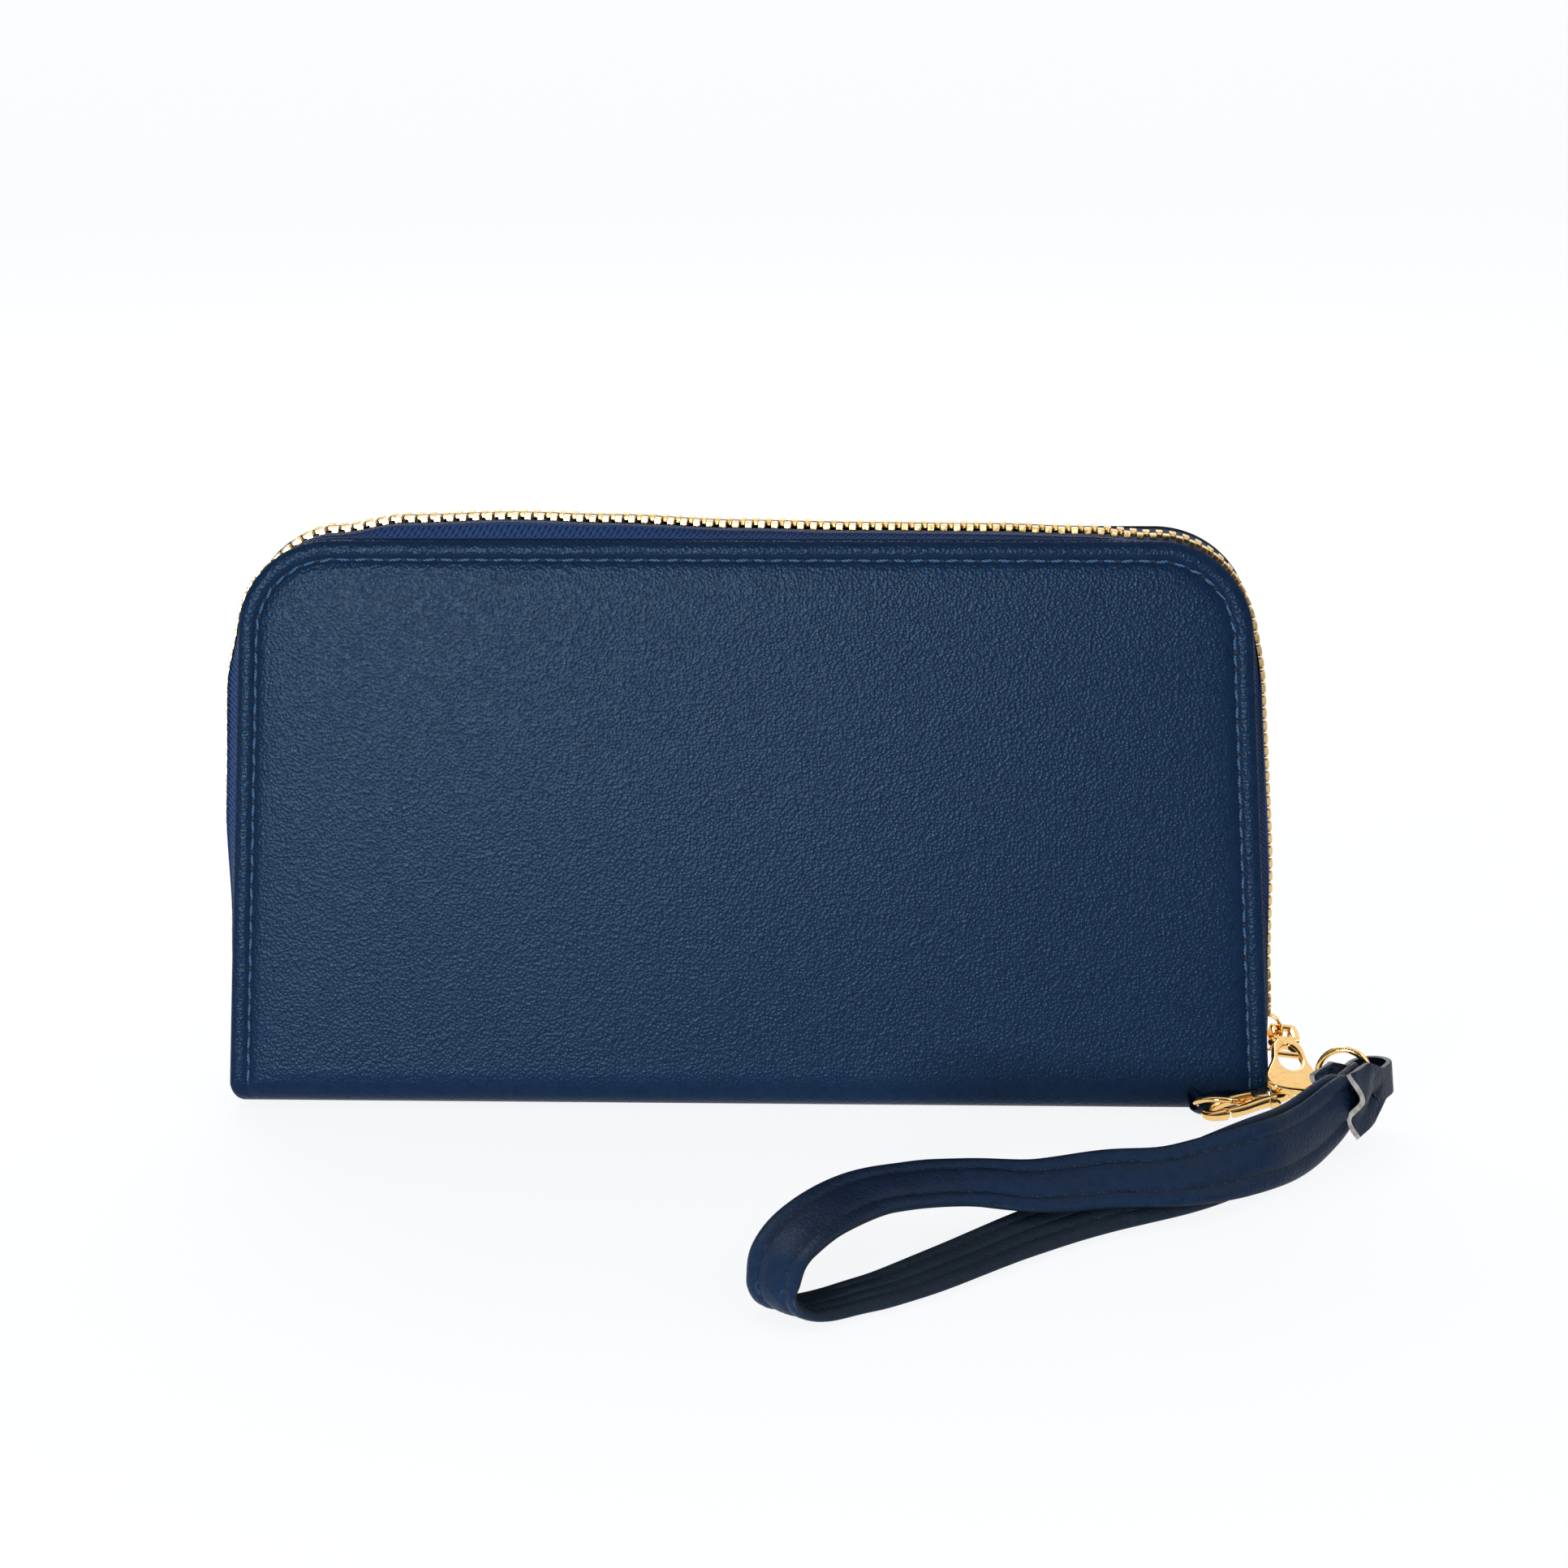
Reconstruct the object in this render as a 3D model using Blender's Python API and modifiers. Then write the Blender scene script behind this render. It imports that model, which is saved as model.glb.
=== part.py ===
# Zip-around wristlet wallet, standing on its spine, with the wrist strap clipped on in front.
# Frame: +X to the right along the spine, -Y out of the front, +Z up, origin under the spine's middle.
import math
import bpy
import bmesh
from mathutils import Matrix, Vector

MM = 0.001

# wallet
HALF_WIDTH = 98.5          # at the spine
TAPER = 0.049              # how much each side draws in per unit of height
DEPTH = 26.0               # front to back at the spine
LEAN = 0.042               # how much each cover leans in per unit of height
PANEL_TOP = 108.5
PANEL_FOOT = 5.6           # where the flat covers start above the spine
CORNER = 18.0
LEATHER = 1.4
BOARD = 1.0
LINING = 0.7
GAP = 0.3
SPINE_RADIUS = 5.0
SPINE_FLAT = DEPTH / 2 - SPINE_RADIUS
HINGE = Vector((0.0, DEPTH / 2, SPINE_RADIUS + GAP))     # the back cover folds about its outer foot
LEAF_HINGE = Vector((0.0, 0.0, 3.0))                     # the middle compartment leans from the spine

# inside: four stepped card pockets in each cover, and the coin pocket between them
CARD_COUNT = 4
CARD_HALF = 86.0
CARD_FOOT = 12.0
CARD_TOP = 88.0
CARD_STEP = 11.0
CARD_THICK = 0.5
CARD_GAP = 0.15
CARD_CORNER = 4.0
COIN_HALF = 90.0
COIN_FOOT = 8.0
COIN_TOP = 96.0
COIN_DEPTH = 4.4
COIN_WALL = 0.8
COIN_END_WALL = 1.5
COIN_FLOOR = 2.0
COIN_TAPE = (174.0, 0.5, 6.0)
COIN_TEETH = (166.0, 0.9, 1.4)
COIN_ZIP_OFF = 0.95        # tape and teeth stand this far off the middle

# zip
TAPE = 0.6
TAPE_FLANGE = 4.0
TAPE_BEND = 4.6            # depth at which the tape turns in towards the teeth
ZIP_SINK = 2.5             # how far the zip's two feet draw in from the covers' edges
TAPE_PROUD = 0.0           # how far the tape stands past the covers' edges
TEETH_LOW, TEETH_HIGH = 0.0, 1.6
TEETH_IN, TEETH_OUT = 0.6, 2.5
ZIP_FOOT = 20.0            # teeth and tape end here, above the parked slider
SLIDER_Z = 12.0
SLIDER_LENGTH = 9.0
SLIDER_HALF_WIDTH = 4.4
PLATE = 0.8

# hardware and strap
RING_CENTRE = Vector((88.97, -16.60, 3.15))
RING_NORMAL = Vector((0.067, 0.50, 0.863)).normalized()
RING_RADIUS = 4.59
RING_WIRE = 0.6
HOOK_WIRE = 1.0
LOOP_WIDTH = 3.4
LOOP_EYE = 1.15
LOOP_PLY = 0.35
CLASP_FOOT = Vector((86.0, -18.6, 1.9))     # inside of the hook's nose
CLASP_AXIS = Vector((20.7, 2.5, 5.2)).normalized()
CLASP_SIDE = Vector((-0.12, 0.993, 0.0)).normalized()
CLASP_UP = CLASP_AXIS.cross(CLASP_SIDE).normalized()
CLASP_PIVOT = (3.5, 0.0)                    # along and across the clasp, as are the next two
LEVER_PIVOT = (12.6, -1.3)
SWIVEL = (18.0, 0.2)
BARREL_AT, BARREL_SIZE = (13.0, 0.2), (6.6, 6.4, 3.0)
SLOT_AT, SLOT_SIZE = (11.6, -2.4), (9.0, 5.0, 1.9)
PIN_HALF, PIN_RADIUS = 1.4, 0.4
PIN_BORE, LEVER_BORE = 0.68, 0.72
LEVER_THICK = 1.44
POST_START, POST_END, POST_RADIUS = (14.9, 0.2), (22.1, 0.2), 0.62
COLLAR_START, COLLAR_END, COLLAR_RADIUS = (16.65, 0.2), (18.6, 0.2), 1.2
SOCKET_START, SOCKET_END, SOCKET_RADIUS = (14.6, 0.2), (18.0, 0.2), 0.95
EYE_CENTRE = Vector((111.8, -17.3, 9.4))
EYE_NORMAL = Vector((0.25, 1.0, 0.0)).normalized()
EYE_RADIUS = 4.9
EYE_WIRE = 0.65
STRAP_WIDTH = 12.6
STRAP_PLY = 2.0
STRAP_HELD_HALF = 4.4      # half width of the strap's ends, inside the tab
TAB_LEATHER = 1.0
TAB_FOLD = Vector((116.55, -18.5, 9.35))
TAB_RUN = Vector((-0.42, -0.90, -0.12))
TAB_LENGTH = 17.0
TAB_ROOM = 0.4             # slack between the strap's ends and the tab
TAB_HALF_LOW = 3.2         # half height at the fold
TAB_FLARE = 2.2            # added to it towards the mouth
TAB_UP = Vector((-0.08, 0.02, 0.99)).normalized()

NAVY = (0.014, 0.032, 0.078)
NAVY_DARK = (0.008, 0.016, 0.036)
TAPE_BLUE = (0.02, 0.045, 0.12)
GOLD = (0.83, 0.56, 0.22)
STEEL = (0.6, 0.6, 0.6)
GREY_BOARD = (0.32, 0.29, 0.25)


def pivot(name, point, members, group, holder=None):
    """An empty on a joint's axis, which the joint's pieces hang from."""
    here = bpy.data.objects.new(name, None)
    group.objects.link(here)
    here.location = point * MM
    if holder:
        here.parent = holder
        here.matrix_parent_inverse = Matrix.Translation(holder.location).inverted()
    for obj in members:
        obj.parent = here
        obj.matrix_parent_inverse = Matrix.Translation(here.location).inverted()
    return here


def clear_scene():
    for obj in list(bpy.data.objects):
        bpy.data.objects.remove(obj)


def collection(name):
    made = bpy.data.collections.new(name)
    bpy.context.scene.collection.children.link(made)
    return made


def finish(name, color, roughness, metallic=0.0):
    mat = bpy.data.materials.new(name)
    mat.use_nodes = True
    shader = mat.node_tree.nodes["Principled BSDF"]
    shader.inputs["Base Color"].default_value = (*color, 1.0)
    shader.inputs["Roughness"].default_value = roughness
    shader.inputs["Metallic"].default_value = metallic
    mat.diffuse_color = (*color, 1.0)
    return mat


def add(name, mesh, mat, group):
    obj = bpy.data.objects.new(name, mesh)
    if mat:
        mesh.materials.clear()
        mesh.materials.append(mat)
    group.objects.link(obj)
    return obj


def mesh_from(bm, name):
    bmesh.ops.recalc_face_normals(bm, faces=bm.faces)
    mesh = bpy.data.meshes.new(name)
    bm.to_mesh(mesh)
    bm.free()
    mesh.shade_smooth()
    mesh.set_sharp_from_angle(angle=math.radians(35))
    return mesh


def rounded(corners, radii, steps=6):
    """Points of an outline whose corners are turned with the given radii."""
    points = []
    for i, corner in enumerate(corners):
        radius = radii[i]
        if radius <= 0:
            points.append(Vector(corner))
            continue
        here = Vector(corner)
        back = (Vector(corners[i - 1]) - here).normalized()
        ahead = (Vector(corners[(i + 1) % len(corners)]) - here).normalized()
        half = back.angle(ahead) / 2
        centre = here + (back + ahead).normalized() * (radius / math.sin(half))
        start = here + back * (radius / math.tan(half)) - centre
        end = here + ahead * (radius / math.tan(half)) - centre
        turn = start.angle(end)
        for k in range(steps + 1):
            part = k / steps
            spoke = (start * math.sin((1 - part) * turn) + end * math.sin(part * turn)) / math.sin(turn)
            points.append(centre + spoke)
    return points


def half_width(height):
    return HALF_WIDTH - TAPER * height


def cover_outline(inset, foot=PANEL_FOOT, top=PANEL_TOP):
    """Outline of a flat layer in x and height, drawn in from the cover's edge by inset."""
    low = half_width(foot) - inset
    high = half_width(top) - inset
    corners = [(low, foot), (high, top - inset), (-high, top - inset), (-low, foot)]
    radius = max(CORNER - inset, 2.0)
    return rounded(corners, [0, radius, radius, 0])


def thicken(bm, face, shift):
    """Draws a flat face out into a solid; returns the moved corners."""
    drawn = bmesh.ops.extrude_face_region(bm, geom=[face])["geom"]
    moved = [v for v in drawn if isinstance(v, bmesh.types.BMVert)]
    bmesh.ops.translate(bm, verts=moved, vec=Vector(shift) * MM)
    return moved


def prism(name, outline, near, far, mat, group):
    """A flat layer between two depths, from an outline in x and z."""
    bm = bmesh.new()
    face = bm.faces.new([bm.verts.new((p[0] * MM, near * MM, p[1] * MM)) for p in outline])
    thicken(bm, face, (0, far - near, 0))
    return add(name, mesh_from(bm, name), mat, group)


def slab(name, outline, thickness, mat, group, centre, turn):
    """A flat plate from an outline in its own plane, centred on that plane."""
    bm = bmesh.new()
    face = bm.faces.new([bm.verts.new((p[0] * MM, p[1] * MM, -thickness / 2 * MM)) for p in outline])
    thicken(bm, face, (0, 0, thickness))
    obj = add(name, mesh_from(bm, name), mat, group)
    place(obj, centre, turn)
    return obj


def layer(name, side, depth, thickness, outline, mat, group, holder):
    """A layer of one cover, depth counted inwards from its outer face; side is -1 front, 1 back."""
    obj = prism(name, outline, -side * depth, -side * (depth + thickness), mat, group)
    obj.parent = holder
    return obj


def loft(name, sections, mat, group):
    """A closed solid pushed through the sections one after another."""
    bm = bmesh.new()
    rings = [[bm.verts.new(point * MM) for point in section] for section in sections]
    count = len(sections[0])
    for near, far in zip(rings, rings[1:]):
        for i in range(count):
            j = (i + 1) % count
            bm.faces.new((near[i], near[j], far[j], far[i]))
    bm.faces.new(rings[0])
    bm.faces.new(rings[-1])
    bmesh.ops.triangulate(bm, faces=bm.faces)
    return add(name, mesh_from(bm, name), mat, group)


def box(name, centre, size, mat, group, turn=None, bevel=0.0):
    """A box by its centre and size, turned by a matrix, with rounded edges."""
    bm = bmesh.new()
    bmesh.ops.create_cube(bm, size=1.0)
    bmesh.ops.scale(bm, verts=bm.verts, vec=Vector(size) * MM)
    obj = add(name, mesh_from(bm, name), mat, group)
    place(obj, centre, turn)
    if bevel:
        rounding = obj.modifiers.new("edges", "BEVEL")
        rounding.width = bevel * MM
        rounding.segments = 2
    return obj


def place(obj, centre, turn=None):
    matrix = (turn or Matrix()).to_4x4()
    matrix.translation = Vector(centre) * MM
    obj.matrix_world = matrix


def rod(name, start, end, radius, mat, group, sides=12):
    """A round bar between two points."""
    bm = bmesh.new()
    length = (end - start).length
    bmesh.ops.create_cone(bm, cap_ends=True, segments=sides, radius1=radius * MM, radius2=radius * MM,
                          depth=length * MM)
    obj = add(name, mesh_from(bm, name), mat, group)
    turn = (end - start).to_track_quat("Z", "Y").to_matrix()
    place(obj, (start + end) / 2, turn)
    return obj


def tube(name, points, radius, mat, group, closed=False):
    """A wire through the points, as a mesh with its ends closed."""
    curve = bpy.data.curves.new(name, "CURVE")
    curve.dimensions = "3D"
    curve.bevel_depth = radius * MM
    curve.bevel_resolution = 2
    curve.use_fill_caps = not closed
    spline = curve.splines.new("POLY")
    spline.points.add(len(points) - 1)
    for slot, point in zip(spline.points, points):
        slot.co = (*(point * MM), 1.0)
    spline.use_cyclic_u = closed
    guide = bpy.data.objects.new(name + "_line", curve)
    group.objects.link(guide)
    bpy.context.view_layer.update()
    mesh = bpy.data.meshes.new_from_object(guide.evaluated_get(bpy.context.evaluated_depsgraph_get()))
    bpy.data.objects.remove(guide)
    bm = bmesh.new()
    bm.from_mesh(mesh)
    bmesh.ops.remove_doubles(bm, verts=bm.verts, dist=1e-6)
    return add(name, mesh_from(bm, name), mat, group)


def cut(obj, cutter):
    hide(cutter)
    change = obj.modifiers.new("cut_" + cutter.name, "BOOLEAN")
    change.operation = "DIFFERENCE"
    change.object = cutter


def join(obj, other):
    hide(other)
    change = obj.modifiers.new("join_" + other.name, "BOOLEAN")
    change.operation = "UNION"
    change.object = other


def hide(guide):
    guide.hide_render = True
    guide.display_type = "WIRE"


def smooth_path(stations, steps):
    """Points of a soft curve through the stations."""
    points = []
    last = len(stations) - 1
    for i in range(last):
        p0 = stations[max(i - 1, 0)]
        p1, p2 = stations[i], stations[i + 1]
        p3 = stations[min(i + 2, last)]
        for k in range(steps):
            t = k / steps
            points.append(0.5 * (2 * p1 + (p2 - p0) * t + (2 * p0 - 5 * p1 + 4 * p2 - p3) * t * t
                                 + (3 * p1 - p0 - 3 * p2 + p3) * t ** 3))
    points.append(stations[-1])
    return points


def cover_y(side, height):
    """Where a cover's outer face stands at a height."""
    return side * (DEPTH / 2 - LEAN * height)


def cover(side, label, group, holder):
    """One cover: leather, stiff board, lining and the stepped card pockets."""
    outline = cover_outline(0.0)
    inner = cover_outline(8.0, PANEL_FOOT + 2.0)
    depth = LEATHER + GAP
    layer(label + "_cover", side, 0.0, LEATHER, outline, LEATHER_MAT, group, holder)
    layer(label + "_board", side, depth, BOARD, inner, BOARD_MAT, group, holder)
    depth += BOARD + GAP
    edge = cover_outline(5.2, PANEL_FOOT + 1.0)
    layer(label + "_lining", side, depth, LINING, edge, LINING_MAT, group, holder)
    depth += LINING + GAP
    for step in range(CARD_COUNT):
        top = CARD_TOP - CARD_STEP * step
        corners = [(CARD_HALF, CARD_FOOT), (CARD_HALF, top), (-CARD_HALF, top), (-CARD_HALF, CARD_FOOT)]
        card = rounded(corners, [0, CARD_CORNER, CARD_CORNER, 0], 3)
        name = "%s_card_pocket_%d" % (label, step + 1)
        layer(name, side, depth, CARD_THICK, card, LINING_MAT, group, holder)
        depth += CARD_THICK + CARD_GAP


def spine(group):
    """The leather under both covers, turned up at its two long edges, and its lining."""
    def trough(radius, ends):
        bm = bmesh.new()
        flat = SPINE_FLAT
        profile = []
        for k in range(7):
            angle = math.pi / 2 * k / 6
            profile.append((-flat - radius * math.cos(angle), SPINE_RADIUS - radius * math.sin(angle)))
        profile += [(-y, z) for y, z in reversed(profile)]
        line = [bm.verts.new((-ends * MM, y * MM, z * MM)) for y, z in profile]
        edges = [bm.edges.new(pair) for pair in zip(line, line[1:])]
        moved = bmesh.ops.extrude_edge_only(bm, edges=edges)["geom"]
        bmesh.ops.translate(bm, verts=[v for v in moved if isinstance(v, bmesh.types.BMVert)],
                            vec=(2 * ends * MM, 0, 0))
        bmesh.ops.recalc_face_normals(bm, faces=bm.faces)
        if sum(face.normal.z for face in bm.faces) < 0:
            bmesh.ops.reverse_faces(bm, faces=bm.faces)
        mesh = bpy.data.meshes.new("trough")
        bm.to_mesh(mesh)
        bm.free()
        return mesh
    leather = add("spine_cover", trough(SPINE_RADIUS, HALF_WIDTH), LEATHER_MAT, group)
    lining = add("spine_lining", trough(SPINE_RADIUS - LEATHER - GAP, HALF_WIDTH - 3.0), LINING_MAT, group)
    for obj, thickness in ((leather, LEATHER), (lining, LINING)):
        wall = obj.modifiers.new("wall", "SOLIDIFY")
        wall.thickness = thickness * MM
        wall.offset = 1.0


def zip_line(proud, foot):
    """The open line round three sides at a distance outside the covers' edges, in x and height."""
    low = half_width(foot) + proud - ZIP_SINK
    high = half_width(PANEL_TOP) + proud
    top = PANEL_TOP + proud
    radius = max(CORNER + proud, 3.0)
    return rounded([(low, foot), (high, top), (-high, top), (-low, foot)], [0, radius, radius, 0], 8)


def tape(side, label, group):
    """Woven tape from inside the cover's edge up to the teeth."""
    flange = LEATHER + GAP + TAPE / 2
    lines = [(-TAPE_FLANGE, flange), (-1.2, flange), (-0.5, None), (TAPE_PROUD, None)]
    sections = []
    paths = [zip_line(proud, ZIP_FOOT) for proud, _ in lines]
    for row in range(len(paths[0])):
        middle = []
        for path, (proud, depth) in zip(paths, lines):
            x, z = path[row]
            y = side * TAPE_BEND if proud < TAPE_PROUD else side * (TEETH_OUT + GAP + TAPE / 2)
            if depth is not None:
                y = cover_y(side, z) - side * depth
            middle.append(Vector((x, y, z)))
        outward = (middle[3] - middle[0]) * Vector((1, 0, 1))
        outward.normalize()
        section = []
        half = TAPE / 2
        shifts = [Vector((0, side * half, 0)), (Vector((0, side, 0)) * 0.6 + outward * 0.8) * half,
                  outward * half, outward * half]
        section += [point + shift for point, shift in zip(middle, shifts)]
        section += [point - shift for point, shift in zip(reversed(middle), reversed(shifts))]
        sections.append(section)
    return loft(label + "_zip_tape", sections, TAPE_MAT, group)


def teeth(side, label, group):
    """One row of teeth, as the band that they fill."""
    low = zip_line(TEETH_LOW, ZIP_FOOT)
    high = zip_line(TEETH_HIGH, ZIP_FOOT)
    sections = []
    for a, b in zip(low, high):
        near, far = side * TEETH_IN, side * TEETH_OUT
        sections.append([Vector((a[0], near, a[1])), Vector((b[0], near, b[1])),
                         Vector((b[0], far, b[1])), Vector((a[0], far, a[1]))])
    return loft(label + "_teeth", sections, GOLD_MAT, group)


def coin_pocket(group):
    """The middle compartment: two walls closed at the foot and ends, with its own short zip."""
    middle = (COIN_FOOT + COIN_TOP) / 2
    height = COIN_TOP - COIN_FOOT
    size = (2 * COIN_HALF, COIN_DEPTH, height)
    room = (2 * (COIN_HALF - COIN_END_WALL), COIN_DEPTH - 2 * COIN_WALL, height)
    outer = box("coin_pocket", (0, 0, middle), size, LINING_MAT, group, bevel=0.5)
    cut(outer, box("coin_hollow", (0, 0, middle + COIN_FLOOR), room, None, CUTTERS))
    pieces = [outer]
    for side, label in ((-1, "front"), (1, "back")):
        y = side * COIN_ZIP_OFF
        pieces.append(box("coin_%s_tape" % label, (0, y, COIN_TOP - 2.2), COIN_TAPE, TAPE_MAT, group))
        pieces.append(box("coin_%s_teeth" % label, (0, y, COIN_TOP + 1.9), COIN_TEETH, GOLD_MAT, group))
    return pieces


def slider(group):
    """The zip's slider, parked at the right-hand foot, its crown, and the hanging puller."""
    low, high = zip_line(0.0, ZIP_FOOT)[:2]
    axis = Vector((high[0] - low[0], 0, high[1] - low[1])).normalized()
    side = Vector((0, 1, 0))
    out = side.cross(axis)
    turn = Matrix((side, axis, out)).transposed()
    foot = Vector((low[0], 0, ZIP_FOOT)) + axis * (SLIDER_Z - ZIP_FOOT)
    inner = foot + out * (TAPE_PROUD - 1.6)
    outer = foot + out * (TEETH_HIGH + GAP + PLATE / 2)
    wide = 2 * SLIDER_HALF_WIDTH
    body = box("slider_body", outer, (wide, SLIDER_LENGTH, PLATE), GOLD_MAT, group, turn, 0.2)
    under = box("slider_under_plate", inner, (wide - 2, SLIDER_LENGTH, PLATE), None, CUTTERS, turn)
    post = box("slider_post", (inner + outer) / 2, (0.6, 3.0, (outer - inner).length), None, CUTTERS, turn)
    join(body, under)
    join(body, post)
    seat = outer + out * (PLATE / 2)
    crown = tube("slider_crown", [seat + axis * 3.2 + out * 0.75, seat + axis * 2.6 + out * 1.9,
                                  seat + axis * 0.4 + out * 2.95, seat - axis * 2.2 + out * 2.4,
                                  seat - axis * 3.0 + out * 0.75], 0.45, GOLD_MAT, group)
    return axis, out, seat, (body, crown)


def puller(group, axis, out, seat):
    """Loop, neck and bell-shaped plate, hanging down over the clasp."""
    top = seat + axis * 0.2 + out * 3.6
    down = Vector((0.05, -0.97, -0.235)).normalized()
    side = Vector((0.87, 0.5, 0))
    side = (side - down * side.dot(down)).normalized()
    face = side.cross(down).normalized()
    turn = Matrix((side, down, face)).transposed()

    link = rounded([(-2.6, -1.7), (2.6, -1.7), (2.6, 3.4), (-2.6, 3.4)], [1.6, 1.6, 0.6, 0.6], 4)
    eye = rounded([(-1.5, -1.0), (1.5, -1.0), (1.5, 1.6), (-1.5, 1.6)], [0.7, 0.7, 0.7, 0.7], 3)
    neck = slab("puller_link", link, 1.0, GOLD_MAT, group, top, turn)
    cut(neck, slab("puller_link_eye", eye, 3.0, None, CUTTERS, top, turn))
    bell = rounded([(-2.2, 3.7), (2.2, 3.7), (2.4, 9.4), (4.9, 14.8), (3.2, 17.3), (-3.2, 17.3), (-4.9, 14.8),
                    (-2.4, 9.4)], [1.2, 1.2, 5.0, 2.0, 2.4, 2.4, 2.0, 5.0], 4)
    window = rounded([(-1.2, 8.4), (1.2, 8.4), (2.7, 14.0), (-2.7, 14.0)], [1.1, 1.1, 1.7, 1.7], 4)
    plate = slab("puller", bell, 1.3, GOLD_MAT, group, top, turn)
    cut(plate, slab("puller_window", window, 4.0, None, CUTTERS, top, turn))
    return top, (neck, plate)


def ring(name, centre, radius, wire, normal, group, mat):
    bpy.ops.mesh.primitive_torus_add(major_radius=radius * MM, minor_radius=wire * MM,
                                     major_segments=28, minor_segments=8)
    obj = bpy.context.object
    obj.name = name
    obj.data.name = name
    obj.data.materials.append(mat)
    obj.data.shade_smooth()
    for held in list(obj.users_collection):
        held.objects.unlink(obj)
    group.objects.link(obj)
    place(obj, centre, normal.to_track_quat("Z", "Y").to_matrix())
    return obj


def strap_ring(group):
    """The ring under the front's right foot, and the leather loop that holds it."""
    wire = ring("strap_ring", RING_CENTRE, RING_RADIUS, RING_WIRE, RING_NORMAL, group, GOLD_MAT)
    towards = Vector((-0.80, 0.60, 0.0))
    towards = (towards - RING_NORMAL * towards.dot(RING_NORMAL)).normalized()
    held = RING_CENTRE + towards * RING_RADIUS
    tangent = RING_NORMAL.cross(towards).normalized()
    root = Vector((held.x, -SPINE_FLAT, SPINE_RADIUS))
    back = root - held
    back -= tangent * back.dot(tangent)
    tail = back.length - SPINE_RADIUS - 2 * GAP
    back.normalize()
    across = tangent.cross(back)
    opening = math.asin(LOOP_PLY / LOOP_EYE)
    lasso = [back * tail + across * LOOP_PLY]
    for k in range(13):
        angle = opening + (2 * math.pi - 2 * opening) * k / 12
        lasso.append((back * math.cos(angle) + across * math.sin(angle)) * LOOP_EYE)
    lasso.append(back * tail - across * LOOP_PLY)
    bm = bmesh.new()
    line = [bm.verts.new((held + point - tangent * LOOP_WIDTH / 2) * MM) for point in lasso]
    edges = [bm.edges.new(pair) for pair in zip(line, line[1:])]
    moved = bmesh.ops.extrude_edge_only(bm, edges=edges)["geom"]
    bmesh.ops.translate(bm, verts=[v for v in moved if isinstance(v, bmesh.types.BMVert)],
                        vec=tangent * LOOP_WIDTH * MM)
    loop = add("ring_loop", mesh_from(bm, "ring_loop"), LEATHER_MAT, group)
    wall = loop.modifiers.new("wall", "SOLIDIFY")
    wall.thickness = 0.5 * MM
    wall.offset = 0.0
    return held, wire


def clasp_point(along, across, up=0.0):
    return CLASP_FOOT + CLASP_AXIS * along + CLASP_SIDE * across + CLASP_UP * up


def clasp(group):
    """Lobster clasp: hook and body in one, sprung lever on a pin, swivel post and round eye."""
    turn = Matrix((CLASP_AXIS, CLASP_SIDE, CLASP_UP)).transposed()
    arm = [clasp_point(*p) for p in ((10.5, 2.4), (7.5, 3.4), (4.5, 3.6), (1.9, 2.7), (0.4, 0.7),
                                     (0.9, -1.4), (2.6, -2.7), (4.0, -2.9))]
    hook = tube("clasp_hook", smooth_path(arm, 3), HOOK_WIRE, GOLD_MAT, group)
    body = box("clasp_barrel", clasp_point(*BARREL_AT), BARREL_SIZE, None, CUTTERS, turn)
    slot = box("clasp_slot", clasp_point(*SLOT_AT), SLOT_SIZE, None, CUTTERS, turn)
    pin_line = (clasp_point(*LEVER_PIVOT, -PIN_HALF), clasp_point(*LEVER_PIVOT, PIN_HALF))
    bore_line = (clasp_point(*LEVER_PIVOT, -3.0), clasp_point(*LEVER_PIVOT, 3.0))
    bore = rod("clasp_bore", *bore_line, PIN_BORE, None, CUTTERS)
    socket_line = (clasp_point(*SOCKET_START), clasp_point(*SOCKET_END))
    socket = rod("clasp_socket", *socket_line, SOCKET_RADIUS, None, CUTTERS)
    join(hook, body)
    cut(hook, slot)
    cut(hook, bore)
    cut(hook, socket)
    outline = rounded([(6.0, -2.2), (11.0, -0.3), (14.0, -0.3), (14.0, -3.2), (13.6, -5.0), (12.0, -5.0),
                       (11.2, -3.8), (6.0, -3.6)], [0.4, 0.3, 0.4, 0.5, 0.5, 0.5, 0.5, 0.5], 2)
    lever = slab("clasp_lever", outline, LEVER_THICK, GOLD_MAT, group, CLASP_FOOT, turn)
    cut(lever, rod("lever_bore", *bore_line, LEVER_BORE, None, CUTTERS))
    pin = rod("lever_pin", *pin_line, PIN_RADIUS, STEEL_MAT, group)
    eye = ring("clasp_eye", EYE_CENTRE, EYE_RADIUS, EYE_WIRE, EYE_NORMAL, group, GOLD_MAT)
    post_line = (clasp_point(*POST_START), clasp_point(*POST_END))
    collar_line = (clasp_point(*COLLAR_START), clasp_point(*COLLAR_END))
    join(eye, rod("swivel_post", *post_line, POST_RADIUS, None, CUTTERS))
    join(eye, rod("swivel_collar", *collar_line, COLLAR_RADIUS, None, CUTTERS))
    return (hook, pin), lever, eye


def strap_frame():
    run = (TAB_RUN - TAB_UP * TAB_RUN.dot(TAB_UP)).normalized()
    return run, TAB_UP.cross(run).normalized()


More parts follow.
